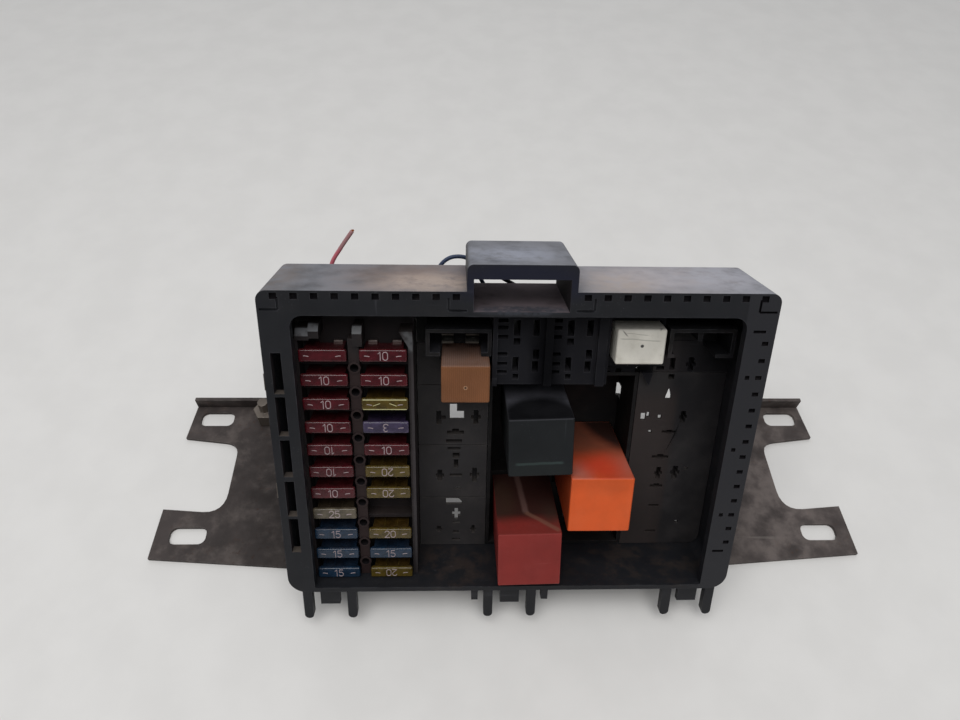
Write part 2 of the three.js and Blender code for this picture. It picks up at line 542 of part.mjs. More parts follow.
// ---- bracket: one folded steel sheet, in the world frame ----
const SLOT_PLACES = [-1, 1].flatMap((side) =>
  [SLOT.lower, SLOT.upper].map((y) => ({ x: side * SLOT.x, y })));
const ARM = { frontStart: 111, frontTaper: 0.7, frontRise: 1.6, rearTaper: [2, 4], rearRise: [0.4, 3.2] };
const WAIST = { x: 147.8, lower: 49.2, upper: 90.6, radius: [11, 8], bow: 0.5 };
const CHEEK = {
  hole: 13, holeAt: [76, 34], window: [34, 113.4], rearRise: 8, top: 106, front: 16, foot: 20 };

// Half of the sheet's outline, from the front middle round the two arms to the rear middle.
function wingOutline(side) {
  const [lower, upper] = WAIST.radius;
  const shape = new THREE.Shape();
  shape.moveTo(-side, BRACKET.front);
  shape.lineTo(side * ARM.frontStart, BRACKET.front);
  shape.lineTo(side * BRACKET.halfLength, BRACKET.tip);
  shape.lineTo(side * (BRACKET.halfLength - ARM.frontTaper), WAIST.lower + ARM.frontRise);
  shape.lineTo(side * (WAIST.x + lower), WAIST.lower);
  shape.quadraticCurveTo(side * WAIST.x, WAIST.lower - WAIST.bow, side * WAIST.x, WAIST.lower + lower);
  shape.lineTo(side * WAIST.x, WAIST.upper - upper);
  shape.quadraticCurveTo(side * WAIST.x, WAIST.upper - WAIST.bow,
    side * (WAIST.x + upper), WAIST.upper + ARM.rearRise[0]);
  shape.lineTo(side * (BRACKET.halfLength - ARM.rearTaper[0]), WAIST.upper + ARM.rearRise[1]);
  shape.lineTo(side * (BRACKET.halfLength - ARM.rearTaper[1]), BRACKET.rear);
  shape.lineTo(-side, BRACKET.rear);
  return shape;
}

function slotCutter({ x, y }) {
  const outline = roundedRectangle([x - SLOT.length / 2, x + SLOT.length / 2],
    [y - SLOT.width / 2, y + SLOT.width / 2], SLOT.width / 2 - 1);
  return prism("z", outline, -ROOT, BRACKET.sheet + ROOT, 4);
}

// A point of the housing's side, given in its own y and z, in the bracket's Y and Z.
function onBracket(y, z) {
  return [
    y * Math.cos(LEAN) + z * Math.sin(LEAN),
    HOUSING_PLACE.z - y * Math.sin(LEAN) + z * Math.cos(LEAN),
  ];
}

const CHEEK_INNER = HOUSING.halfWidth + 0.5;

function cheek(side) {
  const outline = polygon([[CHEEK.window[0], 0], [CHEEK.window[1], 0], [CHEEK.window[1], CHEEK.rearRise],
    onBracket(HOUSING.depth, CHEEK.top), onBracket(CHEEK.front, CHEEK.top),
    onBracket(CHEEK.front, CHEEK.foot)]);
  outline.holes.push(new THREE.Path().absarc(...CHEEK.holeAt, CHEEK.hole, 0, Math.PI * 2));
  const faces = [side * CHEEK_INNER, side * (CHEEK_INNER + BRACKET.sheet)].map((x) => x + HOUSING_PLACE.x);
  return prism("x", outline, Math.min(...faces), Math.max(...faces), 8);
}

function cheekBores() {
  return screwPlaces().map(({ side, z }) => {
    const ends = onSide(side, CHEEK_INNER - ROOT, CHEEK_INNER + BRACKET.sheet + ROOT);
    const [from, to] = ends.map((x) => x + HOUSING_PLACE.x);
    return disc("x", SCREW.radius + GAP, onBracket(SCREW.y, z), from, to, 6);
  });
}

const STUDS = { x: 134.8, y: 107.3, collar: 6.6, collarTop: 11, pin: 3, pinTop: 18 };

// The sheet is open to the rear between its two cheeks.
function bracket() {
  const wings = [-1, 1].map((side) => prism("z", wingOutline(side), 0, BRACKET.sheet));
  const lipEnd = BRACKET.halfLength - ARM.rearTaper[1];
  const lip = slab([-lipEnd, lipEnd], [BRACKET.rear - BRACKET.sheet, BRACKET.rear], [0, BRACKET.lip]);
  const sides = [-CHEEK_INNER, CHEEK_INNER].map((x) => x + HOUSING_PLACE.x);
  const window = slab(sides, [CHEEK.window[0], BRACKET.rear + ROOT], [-ROOT, BRACKET.lip + ROOT]);
  const sheet = cut(join([...wings, lip]), [window, ...SLOT_PLACES.map(slotCutter)]);
  return cut(join([sheet, cheek(-1), cheek(1)]), cheekBores());
}

// A ribbed stud that stands on the sheet beside the housing.
function stud(side) {
  const foot = BRACKET.sheet + GAP;
  return join([disc("z", STUDS.collar, [side * STUDS.x, STUDS.y], foot, STUDS.collarTop, 3),
    disc("z", STUDS.pin, [side * STUDS.x, STUDS.y], STUDS.collarTop - ROOT, STUDS.pinTop, 4)]);
}

// A hex-head screw with its washer, lying along x through a cheek and into the housing's wall.
function screw({ side, z }) {
  const face = CHEEK_INNER + BRACKET.sheet + GAP;
  const headFoot = face + SCREW.washerThick;
  const piece = (radius, from, to, sides) =>
    disc("x", radius, [SCREW.y, z], ...onSide(side, from, to), sides);
  return join([piece(SCREW.radius, HOUSING.halfWidth - SCREW.bite, headFoot, 4),
    piece(SCREW.washer, face, headFoot, 4),
    piece(SCREW.head, headFoot - SCREW.washerThick / 2, headFoot + SCREW.headThick, 1.5)]);
}

// ---- wires behind the housing, in the housing's frame ----
const WIRES = {
  wire_red: { colour: "wireRed", points: [
    [-80, 36.3, 119.5], [-80, 39.5, 119.5], [-80, 43.6, 124], [-79.8, 44.4, 132], [-78.9, 44.6, 141],
    [-75, 45.4, 147.5], [-69.6, 46.4, 155]] },
  wire_blue: { colour: "wireBlue", points: [
    [-33, 36.3, 124], [-33, 39.5, 124], [-33.2, 43.6, 130], [-32.6, 44.5, 139.5], [-27.5, 45.5, 144],
    [-19.5, 45.5, 143.4], [-11.8, 43.8, 131], [-5.2, 43.4, 125], [1, 39.5, 117], [1, 36.3, 117]] },
  wire_black: { colour: "wireBlack", points: [
    [-26, 36.3, 121], [-26, 39.5, 121], [-26.3, 42.5, 129], [-24.5, 41.6, 138], [-13, 41.6, 139.4],
    [2.6, 43.6, 131.6], [11, 45, 127.6], [19.6, 44, 124.6], [25, 39.5, 115], [25, 36.3, 115]] },
};

function wire(points) {
  const route = points.map((point) => new THREE.Vector3(...point));
  const path = new THREE.CatmullRomCurve3(route, false, "centripetal");
  const corners = series(WIRE.sides, (i) => (i / WIRE.sides) * Math.PI * 2);
  const section = new THREE.Shape();
  section.setFromPoints(corners.map((turn) =>
    new THREE.Vector2(WIRE.radius * Math.cos(turn), WIRE.radius * Math.sin(turn))));
  const steps = Math.ceil(path.getLength() / WIRE.stepLength) * 2;
  return solid(new THREE.ExtrudeGeometry(section, { steps, extrudePath: path, bevelEnabled: false }));
}

// ---- assembly ----
function mesh(name, shape, colour) {
  const made = shape.getMesh();
  const geometry = new THREE.BufferGeometry();
  geometry.setAttribute("position", new THREE.BufferAttribute(made.vertProperties, 3));
  geometry.setIndex(new THREE.BufferAttribute(made.triVerts, 1));
  geometry.computeVertexNormals();
  const result = new THREE.Mesh(geometry, new THREE.MeshStandardMaterial(COLOURS[colour]));
  result.name = name;
  return result;
}

const SIDE_NAMES = { "-1": "left", 1: "right" };

function fuseMeshes() {
  return FUSE_KINDS.flatMap((kinds, column) => kinds.flatMap((kind, row) => {
    if (column === EMPTY_SEAT.column && row === EMPTY_SEAT.row) return [];
    const number = String(row + 1).padStart(2, "0");
    const piece = mesh(`fuse_${"ab"[column]}${number}`, fuse(), kind);
    piece.position.set(FUSE_COLUMNS[column], 0, rowHeight(row));
    return [piece];
  }));
}

function relayMeshes() {
  return Object.entries(RELAYS).flatMap(([name, relay]) => {
    const parts = [
      mesh(`relay_${name}_case`, relayCase(relay), relay.colour),
      mesh(`relay_${name}_base`, relayBase(relay), "base"),
      mesh(`relay_${name}_coil`, relayCoil(relay), "copper"),
    ];
    parts.forEach((part) => {
      part.rotation.y = THREE.MathUtils.degToRad(relay.turn);
      part.position.set(relay.x, 0, relay.z);
    });
    return parts;
  });
}

function housingGroup() {
  const group = new THREE.Group();
  group.rotation.x = -LEAN;
  group.position.set(HOUSING_PLACE.x, HOUSING_PLACE.y, HOUSING_PLACE.z);
  group.add(mesh("housing", housing(), "housing"));
  group.add(mesh("fuse_carrier", fuseCarrier(), "carrier"));
  LEFT_ROWS.forEach((_, row) => group.add(mesh(`socket_left_${row + 1}`, leftSocket(row), "carrier")));
  group.add(mesh("socket_centre", relayWell(), "carrier"));
  group.add(mesh("socket_right", rightSocket(), "carrier"));
  group.add(mesh("socket_upper", upperSocket(), "carrier"));
  group.add(mesh("connector_left", connectorSeat(LEFT_SEAT), "carrier"));
  group.add(mesh("connector_right", connectorSeat(RIGHT_SEAT), "carrier"));
  group.add(mesh("bus_bar_a", busBar(0), "copper"));
  group.add(mesh("bus_bar_b", busBar(1), "copper"));
  group.add(...fuseMeshes(), ...relayMeshes());
  screwPlaces().forEach((place) => {
    const level = place.z === SCREW.z[0] ? "lower" : "upper";
    group.add(mesh(`screw_${SIDE_NAMES[place.side]}_${level}`, screw(place), "zinc"));
  });
  Object.entries(WIRES).forEach(([name, { colour, points }]) =>
    group.add(mesh(name, wire(points), colour)));
  return group;
}

function bracketGroup() {
  const group = new THREE.Group();
  group.position.y = HOUSING_PLACE.y;
  group.add(mesh("bracket", bracket(), "steel"));
  [-1, 1].forEach((side) => group.add(mesh(`stud_${SIDE_NAMES[side]}`, stud(side), "zinc")));
  return group;
}

const fuseBox = new THREE.Group();
fuseBox.add(bracketGroup(), housingGroup());
export default fuseBox;
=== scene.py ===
"""The fuse and relay box with its finished surfaces, in metres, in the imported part's frame."""
import json
import math

import bmesh
import bpy
from mathutils import Matrix, Vector

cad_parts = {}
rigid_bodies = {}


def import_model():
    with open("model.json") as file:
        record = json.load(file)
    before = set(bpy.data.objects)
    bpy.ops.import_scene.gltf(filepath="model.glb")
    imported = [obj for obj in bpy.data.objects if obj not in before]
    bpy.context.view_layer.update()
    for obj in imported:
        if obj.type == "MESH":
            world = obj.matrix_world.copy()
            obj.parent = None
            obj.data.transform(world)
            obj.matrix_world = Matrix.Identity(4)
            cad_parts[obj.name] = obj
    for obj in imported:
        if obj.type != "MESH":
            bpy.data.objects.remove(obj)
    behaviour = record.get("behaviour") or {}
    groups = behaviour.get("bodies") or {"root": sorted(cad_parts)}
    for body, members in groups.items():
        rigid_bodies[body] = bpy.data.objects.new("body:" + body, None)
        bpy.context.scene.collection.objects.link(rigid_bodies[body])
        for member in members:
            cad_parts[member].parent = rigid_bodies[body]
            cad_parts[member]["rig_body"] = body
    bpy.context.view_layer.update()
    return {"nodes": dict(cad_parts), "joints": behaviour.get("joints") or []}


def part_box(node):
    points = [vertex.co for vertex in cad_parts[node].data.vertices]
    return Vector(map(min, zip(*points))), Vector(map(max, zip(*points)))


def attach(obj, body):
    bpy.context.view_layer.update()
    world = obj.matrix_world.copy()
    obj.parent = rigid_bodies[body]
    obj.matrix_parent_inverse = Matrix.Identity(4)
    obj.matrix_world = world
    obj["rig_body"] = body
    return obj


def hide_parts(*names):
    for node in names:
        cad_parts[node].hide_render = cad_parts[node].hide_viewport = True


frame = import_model()
nodes = frame["nodes"]

MM = 0.001

# ---- the housing's own frame: x right, y into it, z up its front face, in millimetres ----
HOOD_TOP = 153.2
HOOD_BACK = 38.7
PULL = Vector(frame["joints"][0]["axis"])
LEAN = math.atan2(PULL.z, -PULL.y)


def housing_frame():
    low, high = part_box("housing")
    y = high.y - (HOOD_BACK * math.cos(LEAN) + HOOD_TOP * math.sin(LEAN)) * MM
    z = high.z - HOOD_TOP * math.cos(LEAN) * MM
    origin = Matrix.Translation(((low.x + high.x) / 2, y, z))
    return origin @ Matrix.Rotation(-LEAN, 4, "X") @ Matrix.Scale(MM, 4)


HOUSING = housing_frame()
TO_HOUSING = HOUSING.inverted()


def own_box(node):
    """The node's lowest and highest corners in the housing's own frame."""
    points = [TO_HOUSING @ v.co for v in nodes[node].data.vertices]
    low = Vector([min(p[i] for p in points) for i in range(3)])
    high = Vector([max(p[i] for p in points) for i in range(3)])
    return low, high


def body_of(node):
    return nodes[node]["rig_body"]


# ---- camera, at the viewing angle of the photograph ----
CAMERA = {"at": (-25.6, -242.2, 218.2), "pitch": 23.08, "yaw": 2.36, "roll": -1.13, "lens": 25.24,
          "sensor": 36, "near": 0.01}


def make_camera():
    pitch, yaw, roll = (math.radians(CAMERA[k]) for k in ("pitch", "yaw", "roll"))
    forward = Vector((math.sin(yaw) * math.cos(pitch), math.cos(yaw) * math.cos(pitch), -math.sin(pitch)))
    level = Vector((math.cos(yaw), -math.sin(yaw), 0))
    down = forward.cross(level)
    right = math.cos(roll) * level + math.sin(roll) * down
    up = math.sin(roll) * level - math.cos(roll) * down
    turn = Matrix((right, up, -forward)).transposed().to_4x4()
    data = bpy.data.cameras.new("camera")
    data.lens = CAMERA["lens"]
    data.sensor_width = CAMERA["sensor"]
    data.clip_start = CAMERA["near"]
    camera = bpy.data.objects.new("camera", data)
    place = HOUSING @ Vector(CAMERA["at"])
    camera.matrix_world = Matrix.Translation(place) @ Matrix.Rotation(-LEAN, 4, "X") @ turn
    bpy.context.scene.collection.objects.link(camera)
    bpy.context.scene.camera = camera


# ---- node materials ----
HOUSING_UP = (0, math.sin(LEAN), math.cos(LEAN))
HOUSING_OUT = (0, -math.cos(LEAN), math.sin(LEAN))
X_AXIS, Y_AXIS, Z_AXIS = (1, 0, 0), (0, 1, 0), (0, 0, 1)
WARP = {"scale": 0.12, "detail": 5}


def linear(hex_colour):
    channels = [int(hex_colour[i:i + 2], 16) / 255 for i in (0, 2, 4)]
    return [c / 12.92 if c <= 0.04045 else ((c + 0.055) / 1.055) ** 2.4 for c in channels] + [1.0]


def darker(colour, share):
    return [c * share for c in colour[:3]] + [1.0]


class Graph:
    """A short way to write a material's node tree. Its coordinates are the housing's own millimetres,
    or the bracket's when flat is set."""

    def __init__(self, name, flat=False):
        self.material = bpy.data.materials.new(name)
        self.material.use_nodes = True
        self.tree = self.material.node_tree
        self.shader = self.tree.nodes["Principled BSDF"]
        self.normal = self.node("ShaderNodeNewGeometry").outputs["Normal"]
        place = self.node("ShaderNodeMapping")
        self.put(place.inputs["Vector"], self.node("ShaderNodeTexCoord").outputs["Object"])
        place.inputs["Scale"].default_value = (1 / MM, 1 / MM, 1 / MM)
        if not flat:
            place.inputs["Rotation"].default_value = (LEAN, 0, 0)
            place.inputs["Location"].default_value = TO_HOUSING.translation
        self.coords = place.outputs["Vector"]

    def node(self, kind, **settings):
        made = self.tree.nodes.new(kind)
        for key, value in settings.items():
            setattr(made, key, value)
        return made

    def put(self, socket, value):
        if isinstance(value, bpy.types.NodeSocket):
            self.tree.links.new(value, socket)
        else:
            socket.default_value = value

    def scaled(self, stretch):
        mapping = self.node("ShaderNodeMapping")
        self.put(mapping.inputs["Vector"], self.coords)
        mapping.inputs["Scale"].default_value = stretch
        return mapping.outputs["Vector"]

    def noise(self, size, detail=4, roughness=0.55, stretch=None):
        """Cloudy noise whose blotches are about size millimetres across."""
        made = self.node("ShaderNodeTexNoise")
        self.put(made.inputs["Vector"], self.scaled(stretch) if stretch else self.coords)
        made.inputs["Scale"].default_value = 1 / size
        made.inputs["Detail"].default_value = detail
        made.inputs["Roughness"].default_value = roughness
        return made.outputs["Fac"]

    def spots(self, size):
        made = self.node("ShaderNodeTexVoronoi")
        self.put(made.inputs["Vector"], self.coords)
        made.inputs["Scale"].default_value = 1 / size
        return made.outputs["Distance"]

    def ramp(self, value, low, high):
        made = self.node("ShaderNodeMapRange", interpolation_type="SMOOTHSTEP")
        self.put(made.inputs["Value"], value)
        made.inputs["From Min"].default_value = low
        made.inputs["From Max"].default_value = high
        return made.outputs["Result"]

    def math(self, operation, a, b=0.5, clamp=True):
        made = self.node("ShaderNodeMath", operation=operation, use_clamp=clamp)
        self.put(made.inputs[0], a)
        self.put(made.inputs[1], b)
        return made.outputs[0]

    def times(self, *values):
        whole = values[0]
        for value in values[1:]:
            whole = self.math("MULTIPLY", whole, value)
        return whole

    def most(self, *values):
        whole = values[0]
        for value in values[1:]:
            whole = self.math("MAXIMUM", whole, value)
        return whole

    def mix(self, factor, a, b):
        made = self.node("ShaderNodeMix", data_type="RGBA")
        self.put(made.inputs[0], factor)
        self.put(made.inputs[6], a)
        self.put(made.inputs[7], b)
        return made.outputs[2]

    def blend(self, factor, a, b):
        made = self.node("ShaderNodeMix", data_type="FLOAT")
        self.put(made.inputs[0], factor)
        self.put(made.inputs[2], a)
        self.put(made.inputs[3], b)
        return made.outputs[0]

    def dot(self, vector, direction):
        made = self.node("ShaderNodeVectorMath", operation="DOT_PRODUCT")
        self.put(made.inputs[0], vector)
        self.put(made.inputs[1], direction)
        return made.outputs["Value"]

    def facing(self, direction):
        return self.dot(self.normal, direction)

    def warped(self, amount):
        """The coordinates, pushed about by noise so that a mask's outline is ragged."""
        push = self.node("ShaderNodeTexNoise")
        self.put(push.inputs["Vector"], self.coords)
        push.inputs["Scale"].default_value = WARP["scale"]
        push.inputs["Detail"].default_value = WARP["detail"]
        shift = self.node("ShaderNodeVectorMath", operation="MULTIPLY_ADD")
        self.put(shift.inputs[0], push.outputs["Color"])
        shift.inputs[1].default_value = (2 * amount, 2 * amount, 2 * amount)
        shift.inputs[2].default_value = (-amount, -amount, -amount)
        moved = self.node("ShaderNodeVectorMath", operation="ADD")
        self.put(moved.inputs[0], self.coords)
        self.put(moved.inputs[1], shift.outputs[0])
        return moved.outputs[0]

    def patch(self, centre, radii, ragged=3, soft=0.5):
        """1 inside an ellipsoid about a point, and 0 outside it."""
        mapping = self.node("ShaderNodeMapping")
        self.put(mapping.inputs["Vector"], self.warped(ragged))
        mapping.inputs["Scale"].default_value = [1 / r for r in radii]
        mapping.inputs["Location"].default_value = [-c / r for c, r in zip(centre, radii)]
        length = self.node("ShaderNodeVectorMath", operation="LENGTH")
        self.put(length.inputs[0], mapping.outputs["Vector"])
        return self.ramp(length.outputs["Value"], 1 + soft / 2, 1 - soft)

    def between(self, axis, low, high, soft=0.1):
        """1 where the coordinate along the axis lies between two values."""
        value = self.dot(self.coords, axis)
        return self.times(self.ramp(value, low - soft, low), self.ramp(value, high + soft, high))

    def offset(self, vector, direction, middle):
        """How far the vector lies from the middle along a direction, either way."""
        signed = self.math("SUBTRACT", self.dot(vector, direction), direction.dot(middle), False)
        return self.math("ABSOLUTE", signed, 0, False)

    def streak(self, start, end, across, width):
        """A soft line between two points, seen along the surface's two directions."""
        start, end, across = Vector(start), Vector(end), Vector(across)
        along = (end - start).normalized()
        side = (across - along * along.dot(across)).normalized()
        middle, reach = (start + end) / 2, (end - start).length / 2
        pushed = self.warped(0.5)
        aside = self.ramp(self.offset(pushed, side, middle), width, width * 0.3)
        return self.times(aside, self.ramp(self.offset(pushed, along, middle), reach + 1, reach - 1))

    def edges(self, radius):
        """1 along the object's edges and 0 on its flats."""
        bevel = self.node("ShaderNodeBevel", samples=4)
        bevel.inputs["Radius"].default_value = radius * MM
        bend = self.math("SUBTRACT", 1.0, self.dot(bevel.outputs["Normal"], self.normal))
        return self.ramp(bend, 0.01, 0.2)

    def bump(self, height, distance, strength=1.0):
        """A bump whose height is given in millimetres."""
        made = self.node("ShaderNodeBump")
        self.put(made.inputs["Height"], height)
        made.inputs["Distance"].default_value = distance * MM
        made.inputs["Strength"].default_value = strength
        return made.outputs["Normal"]

    def done(self, colour, roughness, normal=None, **constants):
        self.put(self.shader.inputs["Base Color"], colour)
        self.put(self.shader.inputs["Roughness"], roughness)
        if normal is not None:
            self.put(self.shader.inputs["Normal"], normal)
        for name, value in constants.items():
            self.shader.inputs[name.replace("_", " ")].default_value = value
        return self.material


def marked(g, finish, marks):
    """The finish with marks laid over it. Each is a function of the graph that gives a mask, with its colour
    and its share."""
    for mask, colour, share in marks:
        finish = g.mix(g.times(mask(g), share), finish, linear(colour))
    return finish


def rubs(g):
    """Rubbed edges, and thin scratches across the surface and up it."""
    across = g.times(g.ramp(g.noise(3.6, 2, 0.5, (0.07, 1, 1)), 0.67, 0.72),
                     g.ramp(g.noise(30, 2), 0.5, 0.62))
    upward = g.times(g.ramp(g.noise(3.2, 2, 0.5, (1, 1, 0.08)), 0.68, 0.73),
                     g.ramp(g.noise(36, 2), 0.52, 0.64))
    corners = g.times(g.edges(0.6), g.ramp(g.noise(7, 5), 0.38, 0.62))
    return g.most(corners, g.times(g.most(across, upward), 0.45))


def ribbed(g, scale, dark, finish, height):
    """Fine upright ribs, raised and a little darker."""
    wave = g.node("ShaderNodeTexWave", bands_direction="X")
    g.put(wave.inputs["Vector"], g.coords)
    wave.inputs["Scale"].default_value = scale
    raised = wave.outputs["Fac"]
    return g.mix(g.times(raised, 0.3), finish, dark), g.blend(0.75, height, raised)


def plastic(name, colour, roughness=0.5, top=None, top_share=0.7, top_from=None, film=0.1,
            film_colour="5c544c", wear=0.35, wear_colour="77757a", marks=(), ribs=None, spec=0.3):
    """Moulded plastic: uneven colour, dust on what faces up (on some parts also painted light and shade), a
    thin film elsewhere, rubbed edges, scratches and a fine grain. top_from is the height from which the dust
    lies, and ribs is their scale."""
    g = Graph(name)
    paint, grain = linear(colour), 0.03
    base = g.mix(g.ramp(g.noise(22, 5), 0.35, 0.7), paint, darker(paint, 0.78))
    worn = g.mix(g.times(rubs(g), wear), base, linear(wear_colour))
    hazy = g.mix(g.times(g.ramp(g.noise(14, 6, 0.65), 0.42, 0.75), film), worn, linear(film_colour))
    lying = g.times(g.ramp(g.facing(HOUSING_UP), 0.3, 0.9), g.ramp(g.noise(17, 7, 0.62), 0.12, 0.62),
                    top_share)
    if top_from is not None:
        lying = g.times(lying, g.ramp(g.dot(g.coords, Z_AXIS), top_from - 3, top_from))
    specks = g.times(g.ramp(g.spots(1.3), 0.2, 0.1), g.ramp(g.noise(24, 3), 0.45, 0.65), film)
    dust_and_painted_light = g.mix(g.most(lying, specks), hazy, linear(top or film_colour))
    finish = marked(g, dust_and_painted_light, marks)
    bare = g.blend(g.noise(6, 4), roughness - 0.08, roughness + 0.1)
    rough = g.blend(lying, bare, min(roughness + 0.3, 0.9))
    height = g.blend(0.4, g.noise(0.35, 2), g.noise(2.2, 3))
    if ribs:
        finish, height = ribbed(g, ribs, darker(paint, 0.45), finish, height)
        grain *= 4
    return g.done(finish, rough, g.bump(height, grain), Specular_IOR_Level=spec)


def steel(name, colour, rust="4a3226", metal=0.3, roughness=0.55, bright="86807a", flat=True, marks=()):
    """Sheet steel with thin dark paint: blotches, rust freckles, streaks of dirt and rubbed edges."""
    g = Graph(name, flat)
    base = g.mix(g.ramp(g.noise(34, 6, 0.6), 0.35, 0.68), linear(colour), darker(linear(colour), 0.66))
    haze = g.mix(g.times(g.ramp(g.noise(12, 6, 0.65), 0.45, 0.72), 0.35), base, linear("7c726c"))
    freckles = g.times(g.ramp(g.noise(2.2, 5, 0.65), 0.55, 0.68), g.ramp(g.noise(28, 3), 0.45, 0.62))
    patches = g.most(freckles, g.times(g.ramp(g.noise(16, 7, 0.7), 0.6, 0.72), 0.7))
    rusted = g.mix(g.times(patches, 0.5), haze, linear(rust))
    worn = g.times(g.edges(0.5), g.ramp(g.noise(6, 4), 0.35, 0.6), 0.5)
    scratches = g.times(g.ramp(g.noise(4, 2, 0.5, (0.06, 1, 1)), 0.68, 0.73),
                        g.ramp(g.noise(40, 2), 0.5, 0.6), 0.3)
    finish = marked(g, g.mix(g.most(worn, scratches), rusted, linear(bright)), marks)
    rough = g.blend(patches, g.blend(g.noise(9, 4), roughness - 0.1, roughness + 0.15), 0.85)
    height = g.blend(0.5, g.noise(1.1, 4), patches)
    g.put(g.shader.inputs["Metallic"], g.blend(patches, metal, 0.05))
    return g.done(finish, rough, g.bump(height, 0.06), Specular_IOR_Level=0.3)


def bright_metal(name, colour, roughness=0.35):
    """Plated or bare metal with a brushed grain and dull spots."""
    g = Graph(name)
    tarnish = g.ramp(g.noise(3, 5, 0.6), 0.45, 0.7)
    finish = g.mix(g.times(tarnish, 0.5), linear(colour), darker(linear(colour), 0.45))
    rough = g.blend(tarnish, roughness, roughness + 0.25)
    return g.done(finish, rough, g.bump(g.noise(0.7, 3, 0.5, (0.1, 1, 1)), 0.02), Metallic=0.9)


def fuse_plastic(name, colour, highlight_colour, dust=0.2):
    """Clear tinted plastic: darker towards its middle, painted highlights along its moulded edges and in
    small glints, a little dust on top.
    """
    g = Graph(name)
    cloudy = g.ramp(g.noise(3.4, 5, 0.6), 0.32, 0.7)
    base = g.mix(cloudy, linear(colour), darker(linear(colour), 0.5))
    edge_highlights = g.mix(g.times(g.edges(0.45), 0.55), base, linear(highlight_colour))
    painted_glints = g.times(g.ramp(g.noise(1.1, 3, 0.6), 0.64, 0.74), 0.35)
    bright = g.mix(painted_glints, edge_highlights, linear(highlight_colour))
    dust_and_painted_light = g.times(g.ramp(g.facing(HOUSING_UP), 0.4, 0.95), g.ramp(g.noise(5, 5, 0.65), 0.35, 0.7), dust)
    finish = g.mix(dust_and_painted_light, bright, linear("6a5a50"))
    rough = g.blend(dust_and_painted_light, 0.22, 0.7)
    return g.done(finish, rough, g.bump(g.noise(1.3, 3), 0.03), Transmission_Weight=0.3, IOR=1.5)


# ---- masks for the marks; each is a function of a material's graph ----
def within(*masks):
    """1 only where every mask is 1."""
    return lambda g: g.times(*(mask(g) for mask in masks))


def inside(centre, radii, ragged=3, soft=0.5):
    return lambda g: g.patch(centre, radii, ragged, soft)


def band(axis, low, high, soft=0.1):
    return lambda g: g.between(axis, low, high, soft)


def scratch(start, end, across, width):
    return lambda g: g.streak(start, end, across, width)


def turned(direction, low, high):
    """1 on faces that look along a direction."""
    return lambda g: g.ramp(g.facing(direction), low, high)


def broken(size, detail, low, high, roughness=0.55):
    """Noise that breaks a stain up."""
    return lambda g: g.ramp(g.noise(size, detail, roughness), low, high)


def uneven(size, detail, low, high, least):
    """Noise that only dims a stain, down to its least value."""
    return lambda g: g.blend(g.ramp(g.noise(size, detail), low, high), least, 1.0)


LYING = turned(HOUSING_UP, 0.4, 0.9)
SLANTED = turned(HOUSING_UP, 0.3, 0.55)
FRONT = turned(HOUSING_OUT, 0.6, 0.9)


def top_shade(centre, radii, ragged, soft):
    """A plain stain on what faces up, within an ellipsoid."""
    return within(LYING, inside(centre, radii, ragged, soft))


def top_haze(centre, radii, ragged=4, soft=0.9):
    """A smooth stain on what faces up, within an ellipsoid."""
    return within(top_shade(centre, radii, ragged, soft), uneven(9, 4, 0.3, 0.65, 0.75))


def top_patch(centre, radii, ragged=4):
    """Dust that lies in patches on what faces up, within an ellipsoid."""
    return within(top_shade(centre, radii, ragged, 0.8), broken(6, 6, 0.25, 0.6, 0.65))


# ---- the marks, each a mask with its colour and its share ----
TOP, LEDGE, FLOOR = 142.7, 134.7, 2.2
ORANGE_TOP, BLACK_TOP, RED_TOP, BROWN_TOP = 57.7, 86.6, 33.5, 110.3
RED_LINE = [(5.5, 44, 33.6), (7.3, 13, 33.6), (21, -1, 33.6)]
BROWN_DOT = (-21.1, 4.5, 100.6)

HOUSING_MARKS = [
    # stains and dust on the top and on the hood
    (top_haze((-40, 20, TOP), (34, 30, 6), 7), "806c62", 0.7),
    (top_patch((-34, 12, TOP), (24, 14, 6)), "b8a698", 0.6),
    (top_shade((-12, 26, TOP), (14, 14, 6), 4, 0.8), "5c5458", 0.6),
    (top_patch((-94, 20, TOP), (10, 30, 6)), "6e625a", 0.5),
    (top_haze((56, 22, TOP), (40, 30, 6), 8), "b6aeb0", 0.7),
    (top_patch((40, 12, TOP), (16, 20, 6)), "a8988c", 0.5),
    (top_patch((84, 22, TOP), (26, 26, 6)), "a2a2aa", 0.7),
    (top_patch((-4, 16, HOOD_TOP), (22, 14, 4)), "a0a4b2", 0.5),
    # the lighter front of the ledge under the hood: scuffs, with painted light where light falls on its front
    # strip
    (within(inside((0, 3, LEDGE), (20, 5, 2), 0.6, 0.4), broken(3, 6, 0.3, 0.6, 0.7)), "3c3e45", 0.9),
    # dirt on the floor inside
    (within(inside((60, 15, FLOOR), (40, 17, 2.5), 6), broken(9, 6, 0.42, 0.62, 0.6)), "3e342e", 0.45),
    (within(inside((-25, 15, FLOOR), (24, 17, 2.5), 6), broken(9, 6, 0.4, 0.62, 0.6)), "40342e", 0.45),
    # painted shade on the hood's front face and on the bezel's right side
    (within(FRONT, inside((0, 0, 146), (30, 4, 9), 1)), "15172a", 0.75),
    (within(FRONT, band(X_AXIS, 88, 100, 1), band(Y_AXIS, -1, 0.3)), "2a2a2e", 0.8),
]
